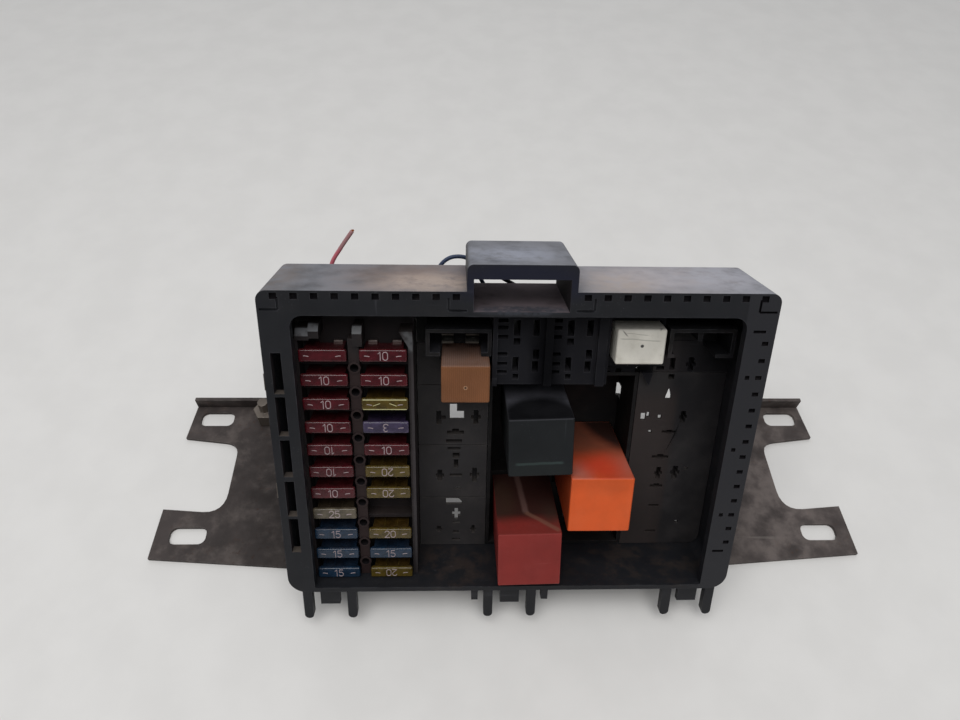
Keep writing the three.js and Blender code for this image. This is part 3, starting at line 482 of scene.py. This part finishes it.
CARRIER_MARKS = [
    # painted light on the slanted ends of the posts over the fuses
    (within(SLANTED, inside((-84, 9.5, 123.6), (7, 3, 4), 0.6), uneven(2.5, 5, 0.3, 0.55, 0.6)),
     "8a8c90", 0.65),
    (within(SLANTED, inside((-64.5, 9.5, 123.6), (4, 3, 3), 0.6)), "8c8e90", 0.65),
    # the rubbed gusset, and the right rail under it
    (within(inside((-44.5, 9, 118.4), (4, 4, 6), 1), broken(4, 4, 0.3, 0.6)), "66686a", 0.6),
    (inside((-42.8, 9.5, 60), (1, 0.8, 62), 0.3), "4a4648", 0.4),
    # brown dirt on the rib between the columns
    (within(band(X_AXIS, -70, -62.5, 0.5), band(Z_AXIS, 0, 106, 10), band(Y_AXIS, 8, 12)), "2a1b1a", 0.75),
]
SOCKET_MARKS = [
    # darker blotches at the right of the right plate, and brown dust low on its left
    (within(band(X_AXIS, 75, 100, 5), broken(20, 3, 0.2, 0.6)), "141317", 0.75),
    (within(band(X_AXIS, 50, 74, 4), band(Z_AXIS, 0, 80, 12)), "332b29", 0.7),
]
UPPER_MARKS = [
    # painted shade on the block's middle column, and darker along its lower right edge
    (inside((13, 20, 110), (8, 30, 22), 3, 0.6), "050508", 0.95),
    (inside((46, 20, 104), (20, 30, 10), 3, 0.9), "101014", 0.5),
]
FRAME_MARKS = [
    # dust on the right connector's plate, darker to its right, and painted shade inside its seats
    (within(band(X_AXIS, 60, 76, 4), band(Z_AXIS, 90, 112, 2)), "332f30", 0.8),
    (within(band(X_AXIS, 76, 100, 4), band(Z_AXIS, 90, 112, 2)), "1c1b1e", 0.7),
    (within(band(X_AXIS, 60, 100), turned(HOUSING_OUT, 0.9, 0.5), band(Z_AXIS, 112, 130, 2)), "0c0c0f", 0.7),
]
ORANGE_MARKS = [
    # darker brown towards the back of the top, faded patches in front, a painted shadow over the back right
    # of the top, and painted shade on the left side
    (within(LYING, band(Y_AXIS, 32, 80, 16)), "6a4030", 0.8),
    (top_haze((33, 40, ORANGE_TOP), (11, 20, 3), 3, 0.8), "5c3a2c", 0.7),
    (top_shade((60, 63, ORANGE_TOP), (23, 38, 3), 1, 0.2), "120b0a", 0.93),
    (top_haze((52, 14, ORANGE_TOP), (8, 12, 3), 2, 1.0), "a87468", 0.5),
    (top_haze((30, 9, ORANGE_TOP), (6, 10, 3), 2, 0.9), "a67a70", 0.55),
    (top_haze((40, 14, ORANGE_TOP), (11, 11, 3), 2, 0.9), "d2402a", 0.75),
    (turned((-1, 0, 0), 0.5, 0.9), "5c2418", 0.6),
]
BLACK_MARKS = [
    # clean round patch on the top, and the scuffed line across the face
    (top_shade((11, 8, BLACK_TOP), (19, 18, 3), 2, 0.3), "050507", 0.95),
    (scratch((1, 4, 64.5), (21, 4, 65.6), Z_AXIS, 0.9), "42504e", 0.6),
    (inside((11, 4, 61), (17, 3, 6), 2), "2b302f", 0.3),
]
RED_MARKS = [
    # a darker top behind, brown dust in front of it, and a pale rubbed line along it
    (within(LYING, band(Y_AXIS, 13, 80, 9)), "20140f", 0.9),
    (top_haze((19, 10, RED_TOP), (6, 12, 3), 3, 0.8), "33241c", 0.7),
    (top_haze((-2, 24, RED_TOP), (6, 16, 3), 3, 1.0), "382a1c", 0.6),
    (scratch(RED_LINE[0], RED_LINE[1], X_AXIS, 2.0), "6a504a", 0.6),
    (scratch(RED_LINE[1], RED_LINE[2], X_AXIS, 1.8), "7a5646", 0.5),
]
BROWN_MARKS = [
    # dark dust on the top, and the moulding gate's ring and dot on the face
    (top_haze((-21, 24, BROWN_TOP), (12, 10, 3), 2), "3a2a26", 0.85),
    (inside(BROWN_DOT, (0.9, 2, 0.9), 0, 0.2), "c09878", 0.7),
    (inside(BROWN_DOT, (0.5, 2, 0.5), 0, 0.2), "20140e", 0.95),
]
WHITE_MARKS = [
    # the gate's dot, three scratches, a chipped corner and general dirt
    (inside((50.9, 10, 117), (0.75, 2, 0.75), 0, 0.3), "1c1c1e", 0.95),
    (scratch((42, 10, 120.2), (58, 10, 119.2), Z_AXIS, 0.35), "8a857c", 0.5),
    (scratch((44, 10, 122.6), (53, 10, 121.8), Z_AXIS, 0.25), "8f8a80", 0.5),
    (scratch((42.5, 10, 123.6), (44.5, 10, 121.4), Z_AXIS, 0.4), "4c4640", 0.7),
    (within(inside((58.6, 10, 124.4), (1.6, 2, 0.9), 0.6, 0.5), broken(1.2, 4, 0.4, 0.6)), "3c3834", 0.8),
    (broken(5, 6, 0.5, 0.68, 0.7), "b8b2a4", 0.36),
]
BRACKET_MARKS = [
    # darker blotches on the left wing and next to the housing on the right, and a paler right wing
    (within(inside((-116, 0, 2), (34, 70, 6), 12, 0.9), broken(16, 5, 0.15, 0.45)), "201a18", 0.9),
    (within(inside((146, 4, 2), (44, 66, 6), 12, 0.9), broken(12, 6, 0.3, 0.6)), "7a706c", 0.6),
    (within(inside((112, 10, 2), (12, 60, 6), 8, 0.9), broken(16, 5, 0.3, 0.6)), "2c2624", 0.6),
]
WIRE_MARKS = [
    # the faded end of the red wire
    (band(Z_AXIS, 149, 170, 3), "8c7674", 0.7),
]

MATERIALS = {
    # the housing's pale top colour is partly dust and partly a painted sheen of the bright room on its top
    # faces
    "housing": plastic("housing_plastic", "1c1d21", 0.5, top="7c7d83", top_share=0.9, top_from=141, film=0.12,
                       film_colour="3c3836", wear=0.3, wear_colour="66666c", marks=HOUSING_MARKS),
    "slot": plastic("housing_slot", "302c2f", 0.75, film=0.1, wear=0.1, spec=0.04),
    # a darker copy of the plastic for the notches and the carrier's bores: painted shade in these recesses
    "notch": plastic("housing_notch", "121114", 0.75, top="1e1b1d", film=0.1, wear=0.1, spec=0.04),
    "carrier": plastic("carrier_plastic", "241f20", 0.6, top="3c322e", top_share=0.35, film=0.2,
                       film_colour="463632", wear=0.35, wear_colour="5e5c5e", marks=CARRIER_MARKS),
    "socket": plastic("socket_plastic", "312f30", 0.62, top="4a4440", top_share=0.5, film=0.25,
                      film_colour="4c4644", wear=0.3, wear_colour="5c5a58", marks=SOCKET_MARKS),
    "upper": plastic("upper_socket_plastic", "1f1f23", 0.6, top="38363a", top_share=0.5, film=0.15,
                     film_colour="302e2e", wear=0.5, wear_colour="56565a", spec=0.08,
                     marks=UPPER_MARKS),
    # the tunnel's pale top colour is partly dust and partly a painted sheen on its floor
    "tunnel": plastic("housing_inner", "2a2629", 0.75, top="6c6266", top_share=0.9, film=0.1, wear=0.2,
                      wear_colour="4c4c50", marks=HOUSING_MARKS, spec=0.04),
    # the near-black tray stands for painted shade in the deep well behind the relays
    "tray": plastic("tray_plastic", "0c0b0d", 0.6, top="221d1a", top_share=0.5, film=0.1, wear=0.12),
    # the connector plastic's dark colour is partly its own and partly painted shade
    "frame": plastic("connector_plastic", "151518", 0.55, top="3a3a40", top_share=0.5, film=0.15, wear=0.6,
                     wear_colour="66666c", spec=0.2, marks=FRAME_MARKS),
    "steel": steel("bracket_steel", "453e3c", marks=BRACKET_MARKS),
    "zinc": steel("zinc", "6e665e", rust="5a4434", metal=0.6, roughness=0.42, bright="9a948c", flat=False),
    "copper": bright_metal("copper", "b06a3e"),
    "tin": bright_metal("tin", "9a8c88", 0.35),
    "glint": plastic("fuse_glint", "c8c490", 0.35, film=0.05, wear=0.05, spec=0.5),
    "terminal": bright_metal("terminal", "5a5650", 0.5),
    "base": plastic("relay_base", "2c2622", 0.55),
    "ink": plastic("fuse_number", "a8989a", 0.5, top="8c8080", film=0.05, wear=0.05, spec=0.4),
    # the orange relay's darker top colour is partly dust and partly painted shade on its top
    "orange": plastic("relay_orange", "e35f29", 0.45, top="a83a26", top_share=0.6, film=0.12,
                      film_colour="d07850", wear=0.35, wear_colour="f0a880", marks=ORANGE_MARKS),
    "red": plastic("relay_red", "8a2b26", 0.5, top="6a241d", top_share=0.7, film=0.2, film_colour="944440",
                   wear=0.35, wear_colour="b07470", marks=RED_MARKS),
    # the black relay's pale top colour is dust, made lighter as painted light where the back of its top lies
    # in shade
    "black": plastic("relay_black", "212325", 0.5, top="606068", top_share=0.9, film=0.15,
                     film_colour="2e3232", wear=0.5, wear_colour="585c60", spec=0.15, marks=BLACK_MARKS),
    "brown": plastic("relay_brown", "835434", 0.55, top="7c645a", top_share=0.9, film=0.15,
                     film_colour="8a6048", wear=0.8, wear_colour="b89880", marks=BROWN_MARKS, ribs=0.38),
    "white": plastic("relay_white", "e9e5da", 0.5, top="e0dcd2", top_share=0.5, film=0.3,
                     film_colour="bab4a8", wear=0.4, wear_colour="f4f0e6", marks=WHITE_MARKS, spec=0.5),
}
FUSE_LOOKS = {
    "red": fuse_plastic("fuse_red", "5e1620", "7c2c36"),
    "clear": fuse_plastic("fuse_clear", "746a58", "b8b0a0"),
    "blue": fuse_plastic("fuse_blue", "1f3a54", "3c5c7e"),
    "yellow": fuse_plastic("fuse_yellow", "66541c", "867638"),
    "violet": fuse_plastic("fuse_violet", "524866", "9088a4"),
}
BODY_LOOKS = {
    "red": fuse_plastic("fuse_red_body", "4c141b", "7a2c34", dust=0.08),
    "clear": fuse_plastic("fuse_clear_body", "3c3226", "6c6050", dust=0.08),
    "blue": fuse_plastic("fuse_blue_body", "1a2c40", "34506c", dust=0.08),
    "yellow": fuse_plastic("fuse_yellow_body", "443212", "7c6830", dust=0.08),
    "violet": fuse_plastic("fuse_violet_body", "302640", "544a68", dust=0.08),
}
WIRE_LOOKS = {
    "wire_red": plastic("wire_red", "b45a66", 0.4, top="d8a4a8", top_share=0.6, film=0.3,
                        film_colour="b08c8c", wear=0.2, marks=WIRE_MARKS),
    "wire_blue": plastic("wire_blue", "1c2c48", 0.4, top="4c5870", top_share=0.5, wear=0.2),
    "wire_black": plastic("wire_black", "17171a", 0.4, top="44444a", top_share=0.5, wear=0.2),
}


# ---- cords ----
WIRE_RADIUS = 0.9
WIRE_ROUTES = {
    "wire_red": [(-80, 36.3, 119.5), (-80, 39.5, 119.5), (-80, 43.6, 124), (-79.8, 44.4, 132),
                 (-78.9, 44.6, 141), (-75, 45.4, 147.5), (-69.6, 46.4, 155)],
    "wire_blue": [(-33, 36.3, 124), (-33, 39.5, 124), (-33.2, 43.6, 130), (-32.6, 44.5, 139.5),
                  (-27.5, 45.5, 144), (-19.5, 45.5, 143.4), (-11.8, 43.8, 131), (-5.2, 43.4, 125),
                  (1, 39.5, 117), (1, 36.3, 117)],
    "wire_black": [(-26, 36.3, 121), (-26, 39.5, 121), (-26.3, 42.5, 129), (-24.5, 41.6, 138),
                   (-13, 41.6, 139.4), (2.6, 43.6, 131.6), (11, 45, 127.6), (19.6, 44, 124.6),
                   (25, 39.5, 115), (25, 36.3, 115)],
}
WIRE_ENDS = {"wire_red": "bare", "wire_blue": "object", "wire_black": "object"}
STRANDS = {"ring": 6, "ring_radius": 0.5, "radius": 0.22, "buried": 1, "bare": 0.45}


def centripetal(points, between=12):
    """Points along the smooth curve through the route's points."""
    ends = [2 * points[0] - points[1], *points, 2 * points[-1] - points[-2]]
    made = []
    for p0, p1, p2, p3 in zip(ends, ends[1:], ends[2:], ends[3:]):
        t1 = (p1 - p0).length ** 0.5
        t2 = t1 + (p2 - p1).length ** 0.5
        t3 = t2 + (p3 - p2).length ** 0.5
        for step in range(between):
            t = t1 + (t2 - t1) * step / between
            a1 = p0 * ((t1 - t) / t1) + p1 * (t / t1)
            a2 = p1 * ((t2 - t) / (t2 - t1)) + p2 * ((t - t1) / (t2 - t1))
            a3 = p2 * ((t3 - t) / (t3 - t2)) + p3 * ((t - t2) / (t3 - t2))
            b1 = a1 * ((t2 - t) / t2) + a2 * (t / t2)
            b2 = a2 * ((t3 - t) / (t3 - t1)) + a3 * ((t - t1) / (t3 - t1))
            made.append(b1 * ((t2 - t) / (t2 - t1)) + b2 * ((t - t1) / (t2 - t1)))
    return made + [points[-1]]


def tube(name, line, radius, material, sides=20):
    """A round tube along a line of points, with closed ends."""
    mesh = bpy.data.meshes.new(name)
    bm = bmesh.new()
    side = Vector(X_AXIS)
    rings = []
    for i, point in enumerate(line):
        along = (line[min(i + 1, len(line) - 1)] - line[max(i - 1, 0)]).normalized()
        side = (side - along * side.dot(along)).normalized()
        over = along.cross(side)
        turns = [2 * math.pi * k / sides for k in range(sides)]
        out = [side * math.cos(a) + over * math.sin(a) for a in turns]
        rings.append([bm.verts.new(point + o * radius) for o in out])
    for low, high in zip(rings, rings[1:]):
        for k in range(sides):
            bm.faces.new((low[k], low[(k + 1) % sides], high[(k + 1) % sides], high[k]))
    bm.faces.new(rings[0][::-1])
    bm.faces.new(rings[-1])
    bmesh.ops.recalc_face_normals(bm, faces=bm.faces)
    for face in bm.faces:
        face.smooth = len(face.verts) == 4
    bm.to_mesh(mesh)
    bm.free()
    mesh.materials.append(material)
    made = bpy.data.objects.new(name, mesh)
    bpy.context.scene.collection.objects.link(made)
    return made


def make_wires():
    for name, route in WIRE_ROUTES.items():
        line = centripetal([HOUSING @ Vector(p) for p in route])
        piece = tube(name + "_cord", line, WIRE_RADIUS * MM, WIRE_LOOKS[name])
        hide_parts(name)
        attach(piece, body_of(name))
        pieces = [bare_strands(line)] if WIRE_ENDS[name] == "bare" else []


def bare_strands(line):
    """The copper ends that show at the cut: one in the middle and a ring around it."""
    tip = line[-1]
    along = (line[-1] - line[-2]).normalized()
    strands = Piece()
    for k in range(STRANDS["ring"] + 1):
        turn = 2 * math.pi * k / STRANDS["ring"]
        out = 0 if k == STRANDS["ring"] else STRANDS["ring_radius"] * MM
        start = tip + Vector((math.cos(turn), math.sin(turn), 0)) * out
        strands.strand(start - along * STRANDS["buried"] * MM, start + along * STRANDS["bare"] * MM,
                       STRANDS["radius"] * MM, "copper")
    return strands.done("wire_red_strands", "box", slot="copper", own_frame=False)


# ---- pieces ----
FIGURE_GAP = 0.2
FIGURE_WIDTHS = {"0": 0.56, "1": 0.34, "2": 0.56, "3": 0.54, "5": 0.54}
STRAND_SIDES = 8
SHARP_FROM = math.radians(40)
MERGE_WITHIN = 0.01 * MM
FLAT_WITHIN = math.radians(1)
ROUNDED_FROM = math.radians(30)


def arc(centre, radii, start, end, steps=7):
    """Points on an ellipse, between two angles in degrees."""
    turns = [math.radians(start + (end - start) * k / steps) for k in range(steps + 1)]
    return [(centre[0] + radii[0] * math.cos(a), centre[1] + radii[1] * math.sin(a)) for a in turns]


# Each figure is one or more lines in a square 1 wide and 1 high.
FIGURES = {
    "0": [arc((0.5, 0.72), (0.5, 0.28), 0, 180) + arc((0.5, 0.28), (0.5, 0.28), 180, 360) + [(1, 0.72)]],
    "1": [[(0, 0.78), (0.75, 1), (0.75, 0)]],
    "2": [arc((0.5, 0.72), (0.5, 0.28), 170, -40) + [(0, 0), (1, 0)]],
    "3": [arc((0.5, 0.75), (0.45, 0.25), 150, -90) + arc((0.45, 0.25), (0.55, 0.25), 90, -150)],
    "5": [[(0.95, 1), (0.1, 1), (0.05, 0.58)] + arc((0.45, 0.32), (0.55, 0.32), 120, -150)],
}


class Piece:
    """Collects parts into one mesh. They are given in the housing's own millimetres, from the origin."""

    def __init__(self, origin=(0, 0, 0)):
        self.origin = Vector(origin)
        self.bm = bmesh.new()
        self.materials = []

    def take(self, part, middle, material):
        """Adds a part, moved to its middle, in one of the named materials or in a material itself."""
        look = MATERIALS[material] if isinstance(material, str) else material
        if look not in self.materials:
            self.materials.append(look)
        for face in part.faces:
            face.material_index = self.materials.index(look)
        bmesh.ops.translate(part, vec=self.origin + middle, verts=part.verts)
        mesh = bpy.data.meshes.new("part")
        part.to_mesh(mesh)
        part.free()
        self.bm.from_mesh(mesh)
        bpy.data.meshes.remove(mesh)

    def block(self, low, high, material, bevel=0.3, segments=2, turn=0):
        """A block with rounded edges, turned about its middle, around the y direction."""
        low, high = Vector(low), Vector(high)
        part = bmesh.new()
        bmesh.ops.create_cube(part, size=1)
        bmesh.ops.scale(part, vec=high - low, verts=part.verts)
        bmesh.ops.bevel(part, geom=part.edges[:], offset=bevel, segments=segments, profile=0.5,
                        affect="EDGES")
        if turn:
            bmesh.ops.rotate(part, matrix=Matrix.Rotation(turn, 3, "Y"), verts=part.verts)
        self.take(part, (low + high) / 2, material)

    def strand(self, start, end, radius, material):
        """A thin round bar between two points."""
        start, end = Vector(start), Vector(end)
        part = bmesh.new()
        bmesh.ops.create_cone(part, cap_ends=True, segments=STRAND_SIDES, radius1=radius, radius2=radius,
                              depth=(end - start).length)
        turn = Vector(Z_AXIS).rotation_difference(end - start).to_matrix()
        bmesh.ops.rotate(part, matrix=turn, verts=part.verts)
        self.take(part, (start + end) / 2, material)

    def figures(self, text, height, radius, material, upside_down=False):
        """Raised figures, drawn as round strokes, on a face that looks along -y."""
        flip = -1 if upside_down else 1
        widths = [FIGURE_WIDTHS[c] * height for c in text]
        at = -(sum(widths) + FIGURE_GAP * height * (len(text) - 1)) / 2
        for figure, width in zip(text, widths):
            for line in FIGURES[figure]:
                points = [Vector((at + u * width, 0, (v - 0.5) * height)) * flip for u, v in line]
                for start, end in zip(points, points[1:]):
                    overlap = (end - start).normalized() * radius * 0.6
                    self.strand(start, end + overlap, radius, material)
            at += width + FIGURE_GAP * height

    def done(self, name, body, replaced=(), slot=None, own_frame=True):
        """Makes the object. own_frame is off when the parts were given in the part's own metres."""
        mesh = bpy.data.meshes.new(name)
        if own_frame:
            self.bm.transform(HOUSING)
        self.bm.to_mesh(mesh)
        self.bm.free()
        for look in self.materials:
            mesh.materials.append(look)
        mesh.shade_smooth()
        mesh.set_sharp_from_angle(angle=SHARP_FROM)
        made = bpy.data.objects.new(name, mesh)
        bpy.context.scene.collection.objects.link(made)
        settle(made)
        if replaced:
            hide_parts(*replaced)
        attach(made, body)
        return made


def settle(made):
    """Applies the object's modifiers, with normals that follow its larger faces."""
    made.modifiers.new("normals", "WEIGHTED_NORMAL").keep_sharp = True
    bpy.context.view_layer.update()
    final = bpy.data.meshes.new_from_object(made.evaluated_get(bpy.context.evaluated_depsgraph_get()))
    rough = made.data
    made.modifiers.clear()
    made.data = final
    bpy.data.meshes.remove(rough)


def refined(node, material, bevel, segments=2, insides=()):
    """The node's own shape with its flats merged and its edges rounded. Faces whose middle lies in one of the
    boxes of insides, given in the housing's own millimetres, take that box's material."""
    bm = bmesh.new()
    bm.from_mesh(nodes[node].data)
    bmesh.ops.remove_doubles(bm, verts=bm.verts, dist=MERGE_WITHIN)
    bmesh.ops.dissolve_limit(bm, angle_limit=FLAT_WITHIN, verts=bm.verts, edges=bm.edges, delimit={"NORMAL"})
    mesh = bpy.data.meshes.new(node + "_shape")
    looks = [material, *dict.fromkeys(look for _, _, look in insides)]
    for face in bm.faces:
        face.material_index = 0
        middle = TO_HOUSING @ face.calc_center_bounds()
        for low, high, look in insides:
            if all(a < m < b for a, m, b in zip(low, middle, high)):
                face.material_index = looks.index(look)
    bm.to_mesh(mesh)
    bm.free()
    mesh.shade_smooth()
    for look in looks:
        mesh.materials.append(MATERIALS[look])
    made = bpy.data.objects.new(node + "_shape", mesh)
    bpy.context.scene.collection.objects.link(made)
    rounding = made.modifiers.new("rounding", "BEVEL")
    rounding.width = bevel * MM
    rounding.segments = segments
    rounding.limit_method = "ANGLE"
    rounding.angle_limit = ROUNDED_FROM
    rounding.use_clamp_overlap = True
    settle(made)
    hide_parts(node)
    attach(made, body_of(node))
    return made


# ---- fuses: across from the fuse's middle, back from its front face, up from its middle ----
FUSE_RATINGS = {
    "a": ["", "10", "10", "10", "10r", "10r", "10", "25", "15", "15", "15"],
    "b": ["10", "10", "", "3r", "10", "20r", "20r", None, "20", "15", "20r"],
}
FUSE_COLOURS = {"10": "red", "25": "clear", "15": "blue", "20": "yellow", "3": "violet"}
UNMARKED = {"fuse_a01": "red", "fuse_b03": "yellow"}
TABS = [("fuse_a01", 1), ("fuse_b01", -1), ("fuse_b01", 1)]

CAP = {"back": 1.9, "bevel": 0.7, "segments": 4}
NECK = {"front": 1.2, "back": 3, "aside": 0.7, "below": 0.5, "bevel": 0.4}
LEG = {"near": 2.8, "far": 8, "half": 1.9, "front": 2.4, "back": 12.2}
WEB = {"across": 3.2, "half": 1.4, "front": 2.4, "back": 11.4}
BLADE = {"at": 4.9, "across": 2.6, "half": 0.35, "front": 3.4, "bevel": 0.12}
TAB = {"at": 5, "across": 1.9, "front": 10.2, "back": 12, "low": 1.8, "high": 2.8, "bevel": 0.2}
DASH = {"from": 5.3, "step": 0.7, "steps": 3, "rise": 0.1, "level_at": 1.4, "sag": 0.05, "crown_at": 1.5,
        "radius": 0.17}
FIGURE = {"height": 3.5, "radius": 0.18}
GLINT = {"at": 3.4, "across": 1.6, "half": 0.16, "proud": 0.08, "back": 0.3, "turn": math.radians(22)}
RIM_HIGHLIGHT = {"aside": 0.6, "below": 0.5, "half": 0.2, "proud": 0.06, "back": 0.3, "bevel": 0.1}


def add_moulding(fuse, half, thick, head, body):
    """The cap, the narrower neck behind it and two legs around the blades, joined by a thinner web."""
    fuse.block((-half, 0, -thick), (half, CAP["back"], thick), head, CAP["bevel"], CAP["segments"])
    across, up = half - NECK["aside"], thick - NECK["below"]
    fuse.block((-across, NECK["front"], -up), (across, NECK["back"], up), body, NECK["bevel"])
    for left, right in ((-LEG["far"], -LEG["near"]), (LEG["near"], LEG["far"])):
        fuse.block((left, LEG["front"], -LEG["half"]), (right, LEG["back"], LEG["half"]), body)
    fuse.block((-WEB["across"], WEB["front"], -WEB["half"]), (WEB["across"], WEB["back"], WEB["half"]), body)


def add_blade(fuse, side, length):
    left, right = (side * BLADE["at"] + end * BLADE["across"] for end in (-1, 1))
    fuse.block((left, BLADE["front"], -BLADE["half"]), (right, length, BLADE["half"]), "tin", BLADE["bevel"])


def add_tab(fuse, side):
    """A metal tab that stands up behind the leg."""
    left, right = (side * TAB["at"] + end * TAB["across"] for end in (-1, 1))
    fuse.block((left, TAB["front"], TAB["low"]), (right, TAB["back"], TAB["high"]), "tin", TAB["bevel"])


def add_dash(fuse, side):
    """A slightly curved dash beside the figures."""
    points = []
    for k in range(DASH["steps"] + 1):
        height = DASH["rise"] * (k - DASH["level_at"]) - DASH["sag"] * (k - DASH["crown_at"]) ** 2
        points.append((side * (DASH["from"] + DASH["step"] * k), 0, height))
    for start, end in zip(points, points[1:]):
        fuse.strand(start, end, DASH["radius"], "ink")


def add_glints(fuse, half, thick):
    """The bright link ends, and painted highlights along the cap's top and bottom rims, of the one fuse that
    has no figures to read.
    """
    for side in (-1, 1):
        left, right = (side * GLINT["at"] + end * GLINT["across"] for end in (-1, 1))
        fuse.block((left, -GLINT["proud"], -GLINT["half"]), (right, GLINT["back"], GLINT["half"]), "glint",
                   GLINT["proud"], turn=side * GLINT["turn"])
    across = half - RIM_HIGHLIGHT["aside"]
    for edge in (-1, 1):
        low, high = (edge * (thick - RIM_HIGHLIGHT["below"]) + end * RIM_HIGHLIGHT["half"] for end in (-1, 1))
        fuse.block((-across, -RIM_HIGHLIGHT["proud"], low), (across, RIM_HIGHLIGHT["back"], high), "glint", RIM_HIGHLIGHT["bevel"])


def make_fuse(node, rating):
    """A rating that ends in r is fitted upside down."""
    low, high = own_box(node)
    half, length, thick = (high.x - low.x) / 2, high.y - low.y, (high.z - low.z) / 2
    number = rating.rstrip("r")
    tint = UNMARKED.get(node) or FUSE_COLOURS[number]
    fuse = Piece(((low.x + high.x) / 2, low.y, (low.z + high.z) / 2))
    add_moulding(fuse, half, thick, FUSE_LOOKS[tint], BODY_LOOKS[tint])
    for side in (-1, 1):
        add_blade(fuse, side, length)
        if (node, side) in TABS:
            add_tab(fuse, side)
        add_dash(fuse, side)
    if tint == "yellow" and not number:
        add_glints(fuse, half, thick)
    if number:
        fuse.figures(number, FIGURE["height"], FIGURE["radius"], "ink", rating.endswith("r"))
    fuse.done(node + "_look", body_of(node), [node], "fuse_" + tint)


def make_fuses():
    for column, ratings in FUSE_RATINGS.items():
        for row, rating in enumerate(ratings):
            if rating is not None:
                make_fuse(f"fuse_{column}{row + 1:02d}", rating)


# ---- relays ----
def make_relays():
    for name in ("black", "orange", "red", "brown", "white"):
        refined(f"relay_{name}_case", name, 1.1, 4)
        refined(f"relay_{name}_base", "base", 0.2)
        refined(f"relay_{name}_coil", "copper", 0.2)


# ---- everything else that keeps its shape ----
HOUSING_INSIDES = [
    ((-19.5, 0.4, 134), (19.5, 38, 151), "tunnel"),
    ((-97, 0.3, 139), (98, 3, 142), "notch"),
    ((90, 0.3, 4), (99, 3, 138), "notch"),
    ((-99.5, 0.4, 4), (-90, 14, 124), "slot"),
]
# the carrier's bores take the darker notch plastic as painted shade
CARRIER_INSIDES = [((-68.2, 9.6, 0), (-64.3, 15.9, 116), "notch")]
CONTACTS = {"x": [(-31, -26), (-21, -15.4)], "z": [113.8, 117.4], "thick": 0.9, "y": (20, 30)}


def make_fixed_pieces():
    refined("housing", "housing", 0.4, 3, HOUSING_INSIDES)
    refined("bracket", "steel", 0.35)
    refined("fuse_carrier", "carrier", 0.2, insides=CARRIER_INSIDES)
    refined("socket_upper", "upper", 0.15)
    refined("socket_centre", "tray", 0.1)
    for node in ("socket_left_1", "socket_left_2", "socket_left_3", "socket_left_4", "socket_right"):
        refined(node, "socket", 0.15)
    for node in ("connector_left", "connector_right"):
        refined(node, "frame", 0.2)
    for node in ("bus_bar_a", "bus_bar_b"):
        refined(node, "copper", 0.15)
    for node in ("screw_left_lower", "screw_left_upper", "screw_right_lower", "screw_right_upper",
                 "stud_left", "stud_right"):
        refined(node, "zinc", 0.25)


def make_contacts():
    """The flat contacts in the left connector."""
    contacts = Piece()
    front, back = CONTACTS["y"]
    for left, right in CONTACTS["x"]:
        for z in CONTACTS["z"]:
            contacts.block((left, front, z), (right, back, z + CONTACTS["thick"]), "terminal", 0.2)
    contacts.done("connector_left_contacts", "box")


# ---- floor and light ----
FLOOR_SIZE = 4.0
LIGHT = {"at": (-0.1, -0.3, 1.25), "target": (0, 0, 0.05), "size": (1.3, 0.9), "power": 11.6}
ROOM = {"towards": (-0.15, 0.85, 0.3), "span": (-0.3, 0.75), "strength": (0.15, 0.7),
        "colour": (0.95, 0.97, 1.0, 1)}


def make_stage():
    mesh = bpy.data.meshes.new("floor")
    corners = [(x * FLOOR_SIZE, y * FLOOR_SIZE, 0) for x, y in ((-1, -1), (1, -1), (1, 1), (-1, 1))]
    mesh.from_pydata(corners, [], [(0, 1, 2, 3)])
    floor = bpy.data.objects.new("floor", mesh)
    g = Graph("floor_white", flat=True)
    shade = g.mix(g.ramp(g.noise(30, 3), 0.3, 0.7), linear("dedcd9"), linear("dad8d5"))
    mesh.materials.append(g.done(shade, 0.6, Specular_IOR_Level=0.2))
    bpy.context.scene.collection.objects.link(floor)


def make_overhead():
    data = bpy.data.lights.new("overhead", "AREA")
    data.shape = "RECTANGLE"
    data.size, data.size_y = LIGHT["size"]
    data.energy = LIGHT["power"]
    light = bpy.data.objects.new("overhead", data)
    light.location = LIGHT["at"]
    down = Vector(LIGHT["target"]) - Vector(LIGHT["at"])
    light.rotation_euler = down.to_track_quat("-Z", "Y").to_euler()
    bpy.context.scene.collection.objects.link(light)


def make_room():
    """A room that is bright behind the box and dim in front of it."""
    world = bpy.data.worlds.new("world")
    world.use_nodes = True
    tree = world.node_tree
    coords = tree.nodes.new("ShaderNodeTexCoord")
    along = tree.nodes.new("ShaderNodeVectorMath")
    along.operation = "DOT_PRODUCT"
    along.inputs[1].default_value = ROOM["towards"]
    tree.links.new(coords.outputs["Generated"], along.inputs[0])
    reach = tree.nodes.new("ShaderNodeMapRange")
    reach.interpolation_type = "SMOOTHSTEP"
    reach.inputs["From Min"].default_value, reach.inputs["From Max"].default_value = ROOM["span"]
    reach.inputs["To Min"].default_value, reach.inputs["To Max"].default_value = ROOM["strength"]
    tree.links.new(along.outputs["Value"], reach.inputs["Value"])
    background = tree.nodes["Background"]
    background.inputs["Color"].default_value = ROOM["colour"]
    tree.links.new(reach.outputs["Result"], background.inputs["Strength"])
    bpy.context.scene.world = world


def make_lights():
    """A soft light overhead, and the room's own light."""
    make_room()
    make_overhead()
    bpy.context.scene.view_settings.view_transform = "Standard"


make_camera()
make_wires()
make_fuses()
make_relays()
make_fixed_pieces()
make_contacts()
make_stage()
make_lights()
